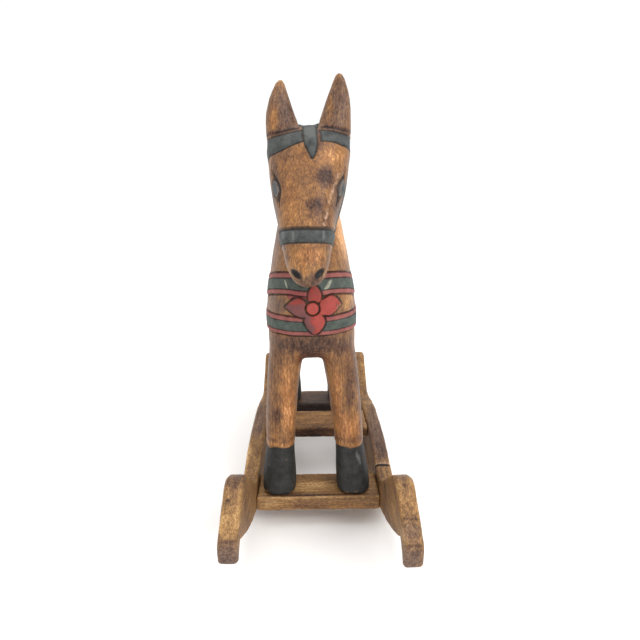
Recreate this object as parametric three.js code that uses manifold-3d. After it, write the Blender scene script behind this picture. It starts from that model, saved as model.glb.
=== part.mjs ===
// A carved wooden rocking horse: one carved horse standing on two foot boards, with a plain
// cross board between them, all three held between a pair of wavy-topped rockers.
// Millimetres. X is across the horse, the horse looks towards -Y, and Z is up from the floor.
import * as THREE from "three";
import { mergeVertices } from "three/addons/utils/BufferGeometryUtils.js";
import Module from "manifold-3d";

const wasm = await Module();
wasm.setup();

// Driving dimensions of the horse.
const HORSE_HEIGHT = 342; // soles to the tip of the taller ear
const LEAN = 0.028; // the horse leans this share of its height to its right, less higher up
const STANCE_SHIFT = 1.4; // it also stands this far to its right of the middle of the stand
const EAR_DROP = 4.5; // the right ear is this much shorter than the left one
const NOSEBAND_WIDTH = 10;
const BROWBAND_WIDTH = 11;
const BAND_RELIEF = 1.3; // how far the bridle straps stand out of the head
const FLOWER_RELIEF = 1.2; // how far the flower stands out of the chest
const CLOTH_RELIEF = 2; // how far the saddle cloth stands out of the flanks

// Driving dimensions of the stand.
const GLUE_LINE = 0.3; // gap left between two glued faces
const ROCKER_THICKNESS = 14;
const ROCKER_RADIUS = 366; // sweep of the underside
const ROCKER_EDGE = 1.6; // rounding along the sawn edges
const WORN_FLAT = 40; // length worn flat in the middle of the sweep
const RIGHT_TOE_IN = 0.033; // radians, the rockers draw together towards the tail
const LEFT_TOE_IN = 0.039;
const HOOF_SIDE_GAP = 6; // from the front hooves to the rockers
const HUMP_HEIGHT = 48.6; // top of the middle hump above the floor
const HUMP_END_FALL = 2.5; // how far the hump falls towards its ends
const HUMP_TO_FRONT_BOARD = 40; // from the end of the hump to the middle of the foot board
const HUMP_TO_REAR_BOARD = 49;
const VALLEY_HEIGHT = 38; // lowest place of the rocker's top edge
const FRONT_TOE_HEIGHT = 86.5; // peak of the front toe above the floor
const RIGHT_TOE_RISE = 2.3; // the right rocker was sawn a little higher at its front toe
const REAR_TOE_HEIGHT = 69.5;
const FRONT_TOE_REACH = 79; // from the middle of the foot board to the peak of the toe
const REAR_TOE_REACH = 40;
const TOE_NOSE = 45; // from the peak of a toe to its blunt end
const NOSE_FALL = 26; // from the peak down to the top of the end face
const LEFT_END_FACE = 19; // height of the blunt end face
const RIGHT_END_FACE = 15.7;
const NOTCH_DEPTH = 6.5; // the step in the underside behind the toe
const NOTCH_LENGTH = 28; // from that step to the end face

// Driving dimensions of the boards.
const HOOF_MARGIN = 1.25; // board left showing before and behind a hoof
const FOOT_BOARD_THICKNESS = 13.8;
const FOOT_BOARD_TOP = 29.8; // above the floor
const CROSS_BOARD_WIDTH = 37;
const CROSS_BOARD_THICKNESS = 11;
const BOARD_EDGE = 1.2; // small rounding along the boards

// Sizes that follow from those above.
const FRONT_HOOF = { y: -88, x: 32.5, half: 14.8, depth: 34 };
const HIND_HOOF = { y: 88, x: 29.5, half: 14.4, depth: 34 };
const carvedHeight = earRibs(1, 0).at(-1).from[1]; // the height at which the ribs are written
const carve = HORSE_HEIGHT / carvedHeight;
const asCarved = (length) => length / carve; // a real length, at the size of the ribs
const footBoardWidth = FRONT_HOOF.depth + 2 * HOOF_MARGIN;
const boardReach = -FRONT_HOOF.y; // from the middle of the stand to a foot board
const innerAtFront = FRONT_HOOF.x + FRONT_HOOF.half + HOOF_SIDE_GAP;
const toeIn = (side) => (side < 0 ? RIGHT_TOE_IN : LEFT_TOE_IN);
const innerFace = (side, y) => innerAtFront - Math.tan(toeIn(side)) * (y + boardReach);

// A closed BufferGeometry as a manifold solid, facing out.
function asSolid(geometry) {
  const bare = geometry.clone();
  bare.deleteAttribute("normal");
  bare.deleteAttribute("uv");
  const merged = mergeVertices(bare, 1e-4);
  const triVerts = new Uint32Array(merged.index.array);
  const vertProperties = merged.attributes.position.array;
  const solid = new wasm.Manifold(new wasm.Mesh({ numProp: 3, vertProperties, triVerts }));
  if (solid.volume() > 0) return solid;
  for (let i = 0; i < triVerts.length; i += 3) {
    [triVerts[i + 1], triVerts[i + 2]] = [triVerts[i + 2], triVerts[i + 1]];
  }
  return new wasm.Manifold(new wasm.Mesh({ numProp: 3, vertProperties, triVerts }));
}

// A manifold solid as a BufferGeometry, its vertices moved by a function.
function asGeometry(solid, move) {
  const mesh = solid.getMesh();
  const positions = new Float32Array((mesh.vertProperties.length / mesh.numProp) * 3);
  for (let i = 0; i < positions.length / 3; i++) {
    const at = i * mesh.numProp;
    const p = move(new THREE.Vector3().fromArray(mesh.vertProperties, at));
    p.toArray(positions, i * 3);
  }
  const geometry = new THREE.BufferGeometry();
  geometry.setAttribute("position", new THREE.BufferAttribute(positions, 3));
  geometry.setIndex([...mesh.triVerts]);
  geometry.computeVertexNormals();
  return geometry;
}

// One value of a Catmull-Rom curve through the ribs, t from 0 to 1.
function along(ribs, read, t) {
  const spans = ribs.length - 1;
  const i = Math.min(Math.floor(t * spans), spans - 1);
  const u = t * spans - i;
  const [a, b, c, d] = [i - 1, i, i + 1, i + 2].map((k) => {
    return read(ribs[Math.max(0, Math.min(spans, k))]);
  });
  const slopeB = (c - a) / 2;
  const slopeC = (d - b) / 2;
  const rest = c - b;
  return b + u * (slopeB + u * (3 * rest - 2 * slopeB - slopeC + u * (slopeB + slopeC - 2 * rest)));
}

// A carved form through ribs. Each rib is a rounded section seen edge-on from the side: it runs
// from one point of the outline to the other, `half` is its half width across the horse, and
// `power` is 2 for an ellipse and more for a squarer section. Caps close both ends.
function carvedForm(ribs, ringsPerSpan, sides, swell = 0) {
  const rings = (ribs.length - 1) * ringsPerSpan + 1;
  const points = [];
  const centres = [];
  for (let i = 0; i < rings; i++) {
    const t = i / (rings - 1);
    const value = (read) => along(ribs, read, t);
    const from = new THREE.Vector3(0, value((r) => r.from[0]), value((r) => r.from[1]));
    const to = new THREE.Vector3(0, value((r) => r.to[0]), value((r) => r.to[1]));
    const centre = from.clone().add(to).multiplyScalar(0.5);
    const up = to.clone().sub(from).multiplyScalar(0.5);
    up.setLength(up.length() + swell);
    centre.x = value((r) => r.x ?? 0);
    const half = value((r) => r.half) + swell;
    const power = value((r) => r.power ?? 2.5);
    const round = (v) => Math.sign(v) * Math.abs(v) ** (2 / power);
    for (let j = 0; j < sides; j++) {
      const angle = (2 * Math.PI * (j + 0.5)) / sides;
      const p = centre.clone().addScaledVector(up, round(Math.sin(angle)));
      p.x += half * round(Math.cos(angle));
      points.push(p);
    }
    centres.push(centre);
  }
  const index = [];
  for (let i = 0; i < rings - 1; i++) {
    for (let j = 0; j < sides; j++) {
      const k = (j + 1) % sides;
      const [a, b, c, d] = [i * sides + j, i * sides + k, (i + 1) * sides + j, (i + 1) * sides + k];
      index.push(a, b, d, a, d, c);
    }
  }
  const first = points.push(centres[0]) - 1;
  const last = points.push(centres[rings - 1]) - 1;
  for (let j = 0; j < sides; j++) {
    const k = (j + 1) % sides;
    index.push(first, k, j, last, (rings - 1) * sides + j, (rings - 1) * sides + k);
  }
  const geometry = new THREE.BufferGeometry().setFromPoints(points);
  geometry.setIndex(index);
  return asSolid(geometry);
}

// A box solid between two corners.
function block([x0, y0, z0], [x1, y1, z1]) {
  const box = new THREE.BoxGeometry(x1 - x0, y1 - y0, z1 - z0);
  return asSolid(box.translate((x0 + x1) / 2, (y0 + y1) / 2, (z0 + z1) / 2));
}

// The ribs are written from the soles up. Level ribs lie flat, from the front of the form to its
// back, upright ones stand on end, and the others run from the face to the jaw or the like.
function level(z, front, back, half, power) {
  return { from: [front, z], to: [back, z], half, power };
}
const upright = (y, bottom, top, half, power) => ({ from: [y, bottom], to: [y, top], half, power });
const face = (from, to, half, power, x = 0) => ({ from, to, half, power, x });

// Chest and neck, from between the front legs up into the head.
const forehandRibs = [
  level(125, -95, -58, 33, 3.2),
  level(130, -102, -50, 35.6, 3.2),
  level(141, -106.5, -34, 36.5, 3),
  level(156, -109.5, -14, 37.4, 2.8),
  level(172, -111, 0, 36.6, 2.7),
  level(188, -108.5, 6, 34, 2.6),
  level(206, -102, 4, 31, 2.6),
  level(222, -95, -12, 27.6, 2.5),
  level(237, -88, -23, 24.4, 2.5),
  level(254, -84, -33, 22.4, 2.5),
  level(272, -82, -42, 21.5, 2.4),
  level(288, -84, -54, 19, 2.4),
];

// Barrel and rump, from inside the chest to the tail.
const barrelRibs = [
  upright(-84, 126, 186, 31, 2.5),
  upright(-50, 119, 200, 34, 2.5),
  upright(-10, 117, 209, 35, 2.5),
  upright(25, 117, 207, 36, 2.5),
  upright(60, 119, 205, 36.8, 2.5),
  upright(88, 122, 206, 36.4, 2.5),
  upright(106, 129, 201, 33.5, 2.4),
  upright(117, 140, 191, 27, 2.3),
  upright(122.5, 152, 180, 16, 2.1),
  upright(124, 161, 171, 5, 2),
];

// Head, from the poll down to the muzzle: each rib runs from the face to the jaw.
const headRibs = [
  face([-82, 305.5], [-66, 298.5], 16, 2.3),
  face([-92, 305], [-58, 284], 26.5, 2.6),
  face([-101, 297], [-58, 266], 30.2, 2.9),
  face([-109, 284], [-63, 250], 29.4, 2.9, -0.3),
  face([-117, 270], [-72, 236], 26.6, 2.9, -0.8),
  face([-125.5, 254], [-84, 225], 22.5, 2.8, -1.6),
  face([-132.5, 239], [-99, 215], 18.8, 2.8, -2.1),
  face([-138.5, 226], [-112, 207], 16.8, 2.7, -2),
  face([-143.5, 214], [-121, 200.5], 14, 2.4, -1.7),
  face([-146, 207], [-127, 197.5], 10.6, 2.3, -1.5),
  face([-145.5, 201.5], [-133, 196.5], 6.6, 2.1, -1.5),
  face([-142.5, 198.5], [-137, 197], 2.5, 2, -1.5),
];

// One ear, side -1 for the right ear and 1 for the left one.
function earRibs(side, drop) {
  const rib = (z, front, back, x, half, power = 2.2) => ({
    ...level(z, front, back, half, power),
    x: side * x,
  });
  return [
    rib(286, -96, -64, 17, 12.4),
    rib(298, -94.5, -67, 17.8, 13),
    rib(308 - drop * 0.2, -92, -69.5, 19, 11.9),
    rib(318 - drop * 0.5, -89, -71.5, 20.3, 9.9),
    rib(328 - drop * 0.8, -86, -73.5, 21, 7.4),
    rib(336 - drop, -83.5, -75, 20.9, 4.8),
    rib(341 - drop, -82, -76.5, 20.6, 2.8),
    rib(342 - drop, -80.5, -78, 20.4, 1.5),
  ];
}

// One leg over its hoof, from the sole up into the body.
function legRibs(side, hoof, shape) {
  const away = Math.sign(hoof.y);
  return shape.map(([z, outer, inner, inset, half, power]) => ({
    from: [asCarved(hoof.y + (away * hoof.depth) / 2) + away * outer, z],
    to: [asCarved(hoof.y - (away * hoof.depth) / 2) - away * inner, z],
    x: side * (asCarved(hoof.x) - inset),
    half: asCarved(hoof.half) - half,
    power,
  }));
}

// Height, growth of the outer and of the inner edge, inset and loss of half width.
const frontLegShape = [
  [0, 0, 0, 0, 0.4, 3],
  [5, 0.6, 0.3, 0, 0, 3],
  [16, -0.4, -0.6, 0.6, 0.3, 2.8],
  [30, -2.4, -1.4, 1.4, 1.5, 2.7],
  [39, -3.6, -2, 2.2, 2.4, 2.7],
  [45, -3.8, -1.4, 2.8, 2.8, 2.7],
  [54, -3, 0, 3.3, 1.9, 2.7],
  [70, -4, 1.2, 4.5, 1.7, 2.7],
  [88, -4.4, 3, 6, 1.4, 2.7],
  [105, -4.6, 6.5, 7.8, 0.9, 2.7],
  [120, -4, 11, 9.8, 0.3, 2.7],
  [134, -3, 17, 12.4, -0.4, 2.6],
];
const hindLegShape = [
  [0, 0, 0, 0, 0.4, 3],
  [5, 0.6, 0.3, 0, 0, 3],
  [16, -0.4, -0.6, 0.3, 0.4, 2.8],
  [30, -2.2, -1.6, 0.7, 1.4, 2.7],
  [39, -3.2, -2, 1, 2, 2.7],
  [45, -2.6, -2, 1.2, 2, 2.7],
  [56, -0.6, -1.4, 1.6, 1.2, 2.6],
  [72, 1, -1, 2.4, 0.8, 2.6],
  [90, 2.6, 2, 3.6, 0.2, 2.6],
  [106, 6, 8, 5.2, -0.6, 2.6],
  [122, 9.5, 14, 7.2, -1.2, 2.6],
  [140, 11, 16, 9.8, -1, 2.5],
  [158, 9, 12, 12.5, 0.4, 2.4],
];

// Tail, lying against the rump and hanging free at its tip.
const tailRibs = [
  face([108, 207], [102, 192], 5.5, 2.2),
  face([120, 203], [108, 185], 8, 2.3),
  face([130.5, 188], [112, 172], 9.6, 2.4),
  face([134.5, 164], [113, 156], 10.2, 2.4),
  face([133, 138], [112, 136], 9.6, 2.4),
  face([127.5, 114], [109, 117], 8.2, 2.3),
  face([119, 95], [105, 101], 6, 2.2),
  face([110.5, 83], [103, 88], 3.2, 2.1),
  face([105, 77], [102.5, 79.5], 1.2, 2),
];

// Mane, one ridge from the tip of the forelock over the poll and down the crest to the withers.
const maneRibs = [
  face([-110.8, 283.3], [-107.5, 284.5], 1, 2.1, 2.6),
  face([-109, 289], [-103, 286], 3.4, 2.3, 2.1),
  face([-104.5, 297], [-96, 290], 5.2, 2.5, 1.4),
  face([-96, 304], [-88, 295], 5.6, 2.5, 1.2),
  face([-80, 307], [-78, 295], 6.4, 2.4, 0.5),
  face([-63.5, 303.5], [-68, 292], 7.4, 2.4),
  face([-49.5, 289.5], [-59, 280], 8.2, 2.4),
  face([-37.5, 270], [-49, 262], 8.8, 2.4),
  face([-27, 251], [-39, 242], 9, 2.4),
  face([-15, 233.5], [-26, 223], 8.8, 2.4),
  face([0, 219.5], [-9, 207], 7.8, 2.4),
  face([13, 212], [8, 203], 5, 2.3),
  face([22, 206.5], [20, 203.5], 1.5, 2.1),
];

// Saddle: a dished seat between a pommel and a cantle.
const SADDLE = { front: 18, back: 78 };
const saddleRibs = [
  upright(SADDLE.front - 4, 196, 209, 9, 2.3),
  upright(SADDLE.front, 186, 219, 16, 2.4),
  upright(SADDLE.front + 6, 182, 222, 20, 2.5),
  upright(SADDLE.front + 18, 182, 213, 24, 2.5),
  upright(SADDLE.front + 32, 182, 210.5, 26, 2.5),
  upright(SADDLE.back - 14, 182, 216, 26, 2.5),
  upright(SADDLE.back - 5, 184, 225, 23, 2.5),
  upright(SADDLE.back, 188, 222, 18, 2.4),
  upright(SADDLE.back + 3, 196, 210, 10, 2.3),
];

// The saddle cloth is a slice of a slightly fuller barrel.
function saddleCloth() {
  const fuller = carvedForm(barrelRibs, 1, 26, asCarved(CLOTH_RELIEF));
  const slice = block([-60, SADDLE.front - 8, 150], [60, SADDLE.back + 9, 240]);
  return fuller.intersect(slice);
}

// A strap round the head is a slice of a slightly fuller head, cut across the line of the face.
const FACE_SLANT = 0.5; // radians, the line of the face against the upright
const NOSEBAND_SLANT = 0.31; // the noseband runs back more level than square to the face
function strap(y, z, width, slant) {
  const fuller = carvedForm(headRibs, 2, 24, asCarved(BAND_RELIEF));
  const slice = new THREE.BoxGeometry(90, 120, asCarved(width));
  return fuller.intersect(asSolid(slice.rotateX(-slant).translate(0, y, z)));
}

// A low ellipsoid set along the line of the face, for an eye or for the cut of a nostril.
function bead(x, y, z, radii, slant) {
  const ball = new THREE.SphereGeometry(1, 10, 8).scale(...radii);
  return asSolid(ball.rotateX(-slant).translate(x, y, z));
}

// The four-petalled flower on the chest, cut out of a slightly fuller chest.
const FLOWER = { z: 173.5, x: 1.8, button: 5.6, petalLength: 22.5, petalHalf: 7.4, upright: 0.88 };
function flower() {
  const petal = new THREE.Shape();
  const [petalLength, petalHalf, button] = [
    FLOWER.petalLength, FLOWER.petalHalf, FLOWER.button,
  ].map(asCarved);
  petal.moveTo(button * 0.6, -petalHalf * 0.3);
  petal.bezierCurveTo(button, -petalHalf, petalLength * 0.55, -petalHalf * 1.3, petalLength, 0);
  petal.bezierCurveTo(
    petalLength * 0.55, petalHalf * 1.3,
    button, petalHalf,
    button * 0.6, petalHalf * 0.3,
  );
  petal.closePath();
  const depth = { depth: 60, bevelEnabled: false, curveSegments: 6 };
  const disc = new THREE.CylinderGeometry(button, button, 60, 20);
  let cutter = asSolid(disc.translate(0, 30, 0));
  for (let quarter = 0; quarter < 4; quarter++) {
    const blade = new THREE.ExtrudeGeometry(petal, depth);
    const length = quarter % 2 ? FLOWER.upright : 1;
    blade.rotateZ((quarter * Math.PI) / 2).scale(1, length, 1);
    cutter = cutter.add(asSolid(blade.rotateX(Math.PI / 2).translate(0, 60, 0)));
  }
  const fuller = carvedForm(forehandRibs, 1, 30, asCarved(FLOWER_RELIEF));
  return fuller.intersect(cutter.translate([asCarved(FLOWER.x), -130, asCarved(FLOWER.z)]));
}

// The whole horse in one piece of wood, in its own frame: soles at z 0.
function carvedHorse() {
  const forms = [
    carvedForm(forehandRibs, 1, 30),
    carvedForm(barrelRibs, 1, 26),
    carvedForm(headRibs, 2, 24),
    carvedForm(tailRibs, 2, 10),
    carvedForm(maneRibs, 1, 10),
    carvedForm(saddleRibs, 1, 18),
    saddleCloth(),
    flower(),
    strap(-134.2, 233.6, NOSEBAND_WIDTH, NOSEBAND_SLANT),
    strap(-97.7, 296, BROWBAND_WIDTH, FACE_SLANT),
  ];
  for (const side of [-1, 1]) {
    forms.push(carvedForm(earRibs(side, side < 0 ? asCarved(EAR_DROP) : 0), 1, 14));
    forms.push(carvedForm(legRibs(side, FRONT_HOOF, frontLegShape), 1, 14));
    forms.push(carvedForm(legRibs(side, HIND_HOOF, hindLegShape), 1, 14));
    forms.push(bead(side * 22.2, -105.2, 264.2, [4, 4.6, 8.5], FACE_SLANT));
  }
  let whole = forms.reduce((carved, form) => carved.add(form));
  for (const side of [-1, 1]) {
    whole = whole.subtract(bead(side * 8.2 - 1.5, -142.6, 209.5, [2.3, 3, 4.2], FACE_SLANT));
  }
  return whole;
}

// Half of a rocker's outline, from the worn flat round the toe to the top of the hump: y away
// from the middle of the stand, z up. The underside is one sweep up to a small step.
const sweep = (y) => ROCKER_RADIUS - Math.sqrt(ROCKER_RADIUS ** 2 - y * y);
function halfOutline(toeReach, toeHeight, endFace, humpToBoard) {
  const peak = boardReach + toeReach;
  const tip = peak + TOE_NOSE;
  const hump = boardReach - humpToBoard;
  const faceTop = toeHeight - NOSE_FALL;
  const faceBottom = faceTop - endFace;
  const flat = WORN_FLAT / 2;
  const notch = tip - NOTCH_LENGTH;
  const step = sweep(notch) - sweep(flat) + NOTCH_DEPTH;
  const half = new THREE.Path();
  half.moveTo(flat, 0);
  const steps = 10;
  for (let i = 1; i <= steps; i++) {
    const y = flat + ((notch - flat) * i) / steps;
    half.lineTo(y, sweep(y) - sweep(flat));
  }
  half.lineTo(notch + 4, step);
  half.quadraticCurveTo(notch + 13, step, tip - 8, faceBottom);
  half.quadraticCurveTo(tip - 2, faceBottom, tip - 0.5, faceBottom + 5);
  half.lineTo(tip, faceTop - 5);
  half.quadraticCurveTo(tip, faceTop + 1, tip - 4, faceTop + 4);
  half.lineTo(peak + 12, toeHeight - 5);
  half.quadraticCurveTo(peak + 4, toeHeight + 1.5, peak - 6, toeHeight - 1.5);
  half.bezierCurveTo(
    peak - toeReach * 0.35, toeHeight - 8,
    boardReach + toeReach * 0.3, VALLEY_HEIGHT + 5,
    boardReach + 2, VALLEY_HEIGHT,
  );
  half.bezierCurveTo(
    boardReach - humpToBoard * 0.4, VALLEY_HEIGHT - 1,
    hump + humpToBoard * 0.4, HUMP_HEIGHT - HUMP_END_FALL - 2,
    hump, HUMP_HEIGHT - HUMP_END_FALL,
  );
  half.quadraticCurveTo(hump - 8, HUMP_HEIGHT, CROSS_BOARD_WIDTH / 2, HUMP_HEIGHT);
  return half.getPoints(6);
}

// One rocker with its inner face at x 0, at the middle of the stand, and its thickness outwards.
function rocker(side) {
  const endFace = side < 0 ? RIGHT_END_FACE : LEFT_END_FACE;
  const toeHeight = FRONT_TOE_HEIGHT + (side < 0 ? RIGHT_TOE_RISE : 0);
  const front = halfOutline(FRONT_TOE_REACH, toeHeight, endFace, HUMP_TO_FRONT_BOARD);
  const rear = halfOutline(REAR_TOE_REACH, REAR_TOE_HEIGHT, LEFT_END_FACE, HUMP_TO_REAR_BOARD);
  const outline = [...rear, ...front.reverse().map((p) => new THREE.Vector2(-p.x, p.y))];
  const bevel = {
    depth: ROCKER_THICKNESS - 2 * ROCKER_EDGE,
    bevelThickness: ROCKER_EDGE,
    bevelSize: ROCKER_EDGE,
    bevelOffset: -ROCKER_EDGE,
    bevelSegments: 1,
  };
  const geometry = new THREE.ExtrudeGeometry(new THREE.Shape(outline), bevel);
  geometry.translate(0, 0, ROCKER_EDGE - ROCKER_THICKNESS / 2);
  // The outline's first axis turns to run along the stand, its second one up.
  geometry.applyMatrix4(new THREE.Matrix4().makeBasis(
    new THREE.Vector3(0, 1, 0),
    new THREE.Vector3(0, 0, 1),
    new THREE.Vector3(1, 0, 0),
  ));
  return geometry.translate((side * ROCKER_THICKNESS) / 2, 0, 0);
}

// A board across the stand. Its ends follow the rockers, so it is a little narrower at the back.
function board(y, width, thickness) {
  const corner = (side, at) => new THREE.Vector2(side * (innerFace(side, at) - GLUE_LINE), at);
  const front = y - width / 2;
  const back = y + width / 2;
  const corners = [corner(-1, front), corner(1, front), corner(1, back), corner(-1, back)];
  const bevel = {
    depth: thickness - 2 * BOARD_EDGE,
    bevelThickness: BOARD_EDGE,
    bevelSize: BOARD_EDGE,
    bevelOffset: -BOARD_EDGE,
    bevelSegments: 2,
  };
  const geometry = new THREE.ExtrudeGeometry(new THREE.Shape(corners), bevel);
  return geometry.translate(0, 0, BOARD_EDGE - thickness);
}

const stainedWood = new THREE.MeshStandardMaterial({ color: 0x8f5f33, roughness: 0.5 });
const boardWood = new THREE.MeshStandardMaterial({ color: 0x7d5a33, roughness: 0.6 });

function add(group, name, geometry, material) {
  const mesh = new THREE.Mesh(geometry, material);
  mesh.name = name;
  group.add(mesh);
  return mesh;
}

const rockingHorse = new THREE.Group();

const horseGeometry = asGeometry(carvedHorse(), (p) => {
  p.x -= LEAN * p.z * (1 - (0.6 * p.z) / carvedHeight);
  p.multiplyScalar(carve);
  p.x -= STANCE_SHIFT;
  return p;
});
const horse = add(rockingHorse, "horse", horseGeometry, stainedWood);
horse.position.z = FOOT_BOARD_TOP + GLUE_LINE;

for (const [name, side] of [["right_rocker", -1], ["left_rocker", 1]]) {
  const mesh = add(rockingHorse, name, rocker(side), boardWood);
  mesh.position.x = side * innerFace(side, 0);
  mesh.rotation.z = side * toeIn(side);
}

const footBoard = (y) => board(y, footBoardWidth, FOOT_BOARD_THICKNESS);
const crossBoard = board(0, CROSS_BOARD_WIDTH, CROSS_BOARD_THICKNESS);
const frontBoard = add(rockingHorse, "front_foot_board", footBoard(-boardReach), boardWood);
frontBoard.position.z = FOOT_BOARD_TOP;
const rearBoard = add(rockingHorse, "rear_foot_board", footBoard(boardReach), boardWood);
rearBoard.position.z = FOOT_BOARD_TOP;
add(rockingHorse, "cross_board", crossBoard, boardWood).position.z = HUMP_HEIGHT;

// The origin goes to the middle of the whole, on the floor.
rockingHorse.updateMatrixWorld(true);
const middle = new THREE.Box3().setFromObject(rockingHorse, true).getCenter(new THREE.Vector3());
rockingHorse.position.set(-middle.x, -middle.y, 0);

export default rockingHorse;
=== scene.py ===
# %% [markdown]
# # A carved wooden rocking horse
# The real object is a small decorative horse, carved by hand from one block, stained, waxed
# and painted with a breast strap, a flower and a bridle. It stands on two foot boards, which
# are fixed between a pair of wavy sawn rockers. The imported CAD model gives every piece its
# size and place. This script gives each one the surface that the knife, the saw, the paint
# and years of handling left on it. Lengths are in metres, with MM for millimetres.

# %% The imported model
import math

import bmesh
import bpy
import numpy as np
from mathutils import Matrix, Vector, noise


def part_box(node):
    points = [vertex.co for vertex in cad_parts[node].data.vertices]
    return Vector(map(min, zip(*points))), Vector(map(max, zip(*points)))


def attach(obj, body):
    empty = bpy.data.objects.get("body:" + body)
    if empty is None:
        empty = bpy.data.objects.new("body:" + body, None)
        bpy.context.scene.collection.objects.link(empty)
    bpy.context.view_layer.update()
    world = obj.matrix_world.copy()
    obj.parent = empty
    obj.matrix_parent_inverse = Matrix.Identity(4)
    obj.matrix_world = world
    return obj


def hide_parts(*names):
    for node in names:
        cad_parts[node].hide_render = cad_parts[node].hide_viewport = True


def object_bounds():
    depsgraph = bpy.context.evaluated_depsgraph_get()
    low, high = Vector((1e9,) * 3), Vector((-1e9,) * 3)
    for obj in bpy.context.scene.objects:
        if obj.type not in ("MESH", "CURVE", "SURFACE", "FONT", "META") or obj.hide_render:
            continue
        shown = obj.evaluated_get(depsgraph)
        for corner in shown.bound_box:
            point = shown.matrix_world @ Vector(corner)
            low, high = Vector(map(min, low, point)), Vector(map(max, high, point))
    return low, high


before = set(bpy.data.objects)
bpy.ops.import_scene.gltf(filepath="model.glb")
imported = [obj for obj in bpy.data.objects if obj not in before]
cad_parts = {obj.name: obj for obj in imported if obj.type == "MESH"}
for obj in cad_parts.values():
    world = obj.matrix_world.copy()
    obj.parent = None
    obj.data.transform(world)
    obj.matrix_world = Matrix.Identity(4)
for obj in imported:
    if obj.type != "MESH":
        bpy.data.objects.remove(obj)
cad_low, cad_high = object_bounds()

MM = 0.001
cad_size = [round(value / MM, 1) for value in cad_high - cad_low]
print("pieces:", sorted(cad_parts), "size in mm:", cad_size)

# %% [markdown]
# ## Meshes as arrays
# A carver works on the whole surface at once, and so does this script: it reads all the points
# of a mesh into one array, moves them with a few sums, and writes them back. That is much
# quicker than a loop over points, and it keeps each cut to a line or two.

# %% Reading and writing a mesh


def points_of(mesh):
    flat = np.zeros(len(mesh.vertices) * 3)
    mesh.vertices.foreach_get("co", flat)
    return flat.reshape(-1, 3)


def normals_of(mesh):
    flat = np.zeros(len(mesh.vertices) * 3, np.float32)
    mesh.vertex_normals.foreach_get("vector", flat)
    return flat.reshape(-1, 3).astype(float)


def set_points(mesh, points):
    mesh.vertices.foreach_set("co", points.astype(np.float32).ravel())
    mesh.update()


def paint_with(mesh, name, values):
    """Keeps one number for each point of the mesh, which the materials read by name."""
    attribute = mesh.attributes.new(name, "FLOAT", "POINT")
    attribute.data.foreach_set("value", np.asarray(values, np.float32))


packed_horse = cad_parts["horse"].data
print("points of the packed horse:", len(points_of(packed_horse)))


# %% [markdown]
# ## An even skin
# The CAD solids have long, uneven faces, which are good for measuring and poor for carving.
# A voxel remesh lays an even skin of small squares over the same shape. The relaxing after it
# does what sandpaper and handling do: it fills the sharp inner corners a little, where forms
# meet, and it hardly touches what stands out.

# %% The skin of a piece, and rubbing it down


def skinned_copy(node_name, piece_name, voxel):
    """A copy of a CAD node as an even skin of small faces."""
    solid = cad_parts[node_name].data.copy()
    shell = bmesh.new()
    shell.from_mesh(solid)
    bmesh.ops.remove_doubles(shell, verts=shell.verts, dist=1e-6)
    shell.to_mesh(solid)
    shell.free()
    solid.materials.clear()
    piece = bpy.data.objects.new(piece_name, solid)
    bpy.context.collection.objects.link(piece)
    skin = piece.modifiers.new("even skin", "REMESH")
    skin.mode = "VOXEL"
    skin.voxel_size = voxel
    scene_state = bpy.context.evaluated_depsgraph_get()
    piece.data = bpy.data.meshes.new_from_object(piece.evaluated_get(scene_state))
    piece.modifiers.clear()
    piece.data.name = piece_name
    bpy.data.meshes.remove(solid)
    return piece


def links_of(mesh):
    flat = np.zeros(len(mesh.edges) * 2, np.int32)
    mesh.edges.foreach_get("vertices", flat)
    return flat.reshape(-1, 2)


def mean_of_neighbours(values, links):
    count = np.bincount(links.ravel(), minlength=len(values))
    total = np.zeros_like(values)
    for here, there in ((0, 1), (1, 0)):
        for axis in range(values.shape[1]):
            total[:, axis] += np.bincount(
                links[:, here], values[links[:, there], axis], len(values)
            )
    return total / np.maximum(count, 1)[:, None]


def rub_down(mesh, rounds, outer, inner, where=1.0):
    """Relaxes the skin: `inner` is the share for hollows, `outer` the share for ridges."""
    links = links_of(mesh)
    points = points_of(mesh)
    for _ in range(rounds):
        pull = mean_of_neighbours(points, links) - points
        hollow = (pull * normals_of(mesh)).sum(1) > 0
        share = np.where(hollow, inner, outer) * where
        points = points + pull * share[:, None]
        set_points(mesh, points)


def refine(mesh, chosen):
    """Cuts every square between the chosen points into four."""
    shell = bmesh.new()
    shell.from_mesh(mesh)
    edges = [e for e in shell.edges if chosen[e.verts[0].index] and chosen[e.verts[1].index]]
    bmesh.ops.subdivide_edges(shell, edges=edges, cuts=1, use_grid_fill=True)
    shell.to_mesh(mesh)
    shell.free()
    mesh.update()


print("edges of the packed horse:", len(links_of(packed_horse)))

# %% [markdown]
# ## The carver's frame
# The horse leans a little to its right, as it does in the photograph. The marks of the knife
# are easier to place on an upright horse, so they use the carver's own frame in millimetres:
# x from the middle of the horse, y from the middle of the stand with the tail at plus, and z
# up from the soles.

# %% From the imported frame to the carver's frame
LEAN = 0.028  # share of its height that the horse leans, less towards the ears
STANCE = 1.4  # how far it stands to its right of the middle of the stand
front_board, rear_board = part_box("front_foot_board"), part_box("rear_foot_board")
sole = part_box("horse")[0].z
horse_height = (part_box("horse")[1].z - sole) / MM
stand_y = (front_board[0].y + rear_board[1].y) / 2
stand_x = (front_board[0].x + front_board[1].x) / 2 - STANCE * MM


def carver_frame(points):
    z = (points[:, 2] - sole) / MM
    x = (points[:, 0] - stand_x) / MM + LEAN * z * (1 - 0.6 * z / horse_height)
    y = (points[:, 1] - stand_y) / MM
    return x, y, z


print("soles at", round(sole / MM, 1), "mm, horse", round(horse_height), "mm tall")

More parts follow.
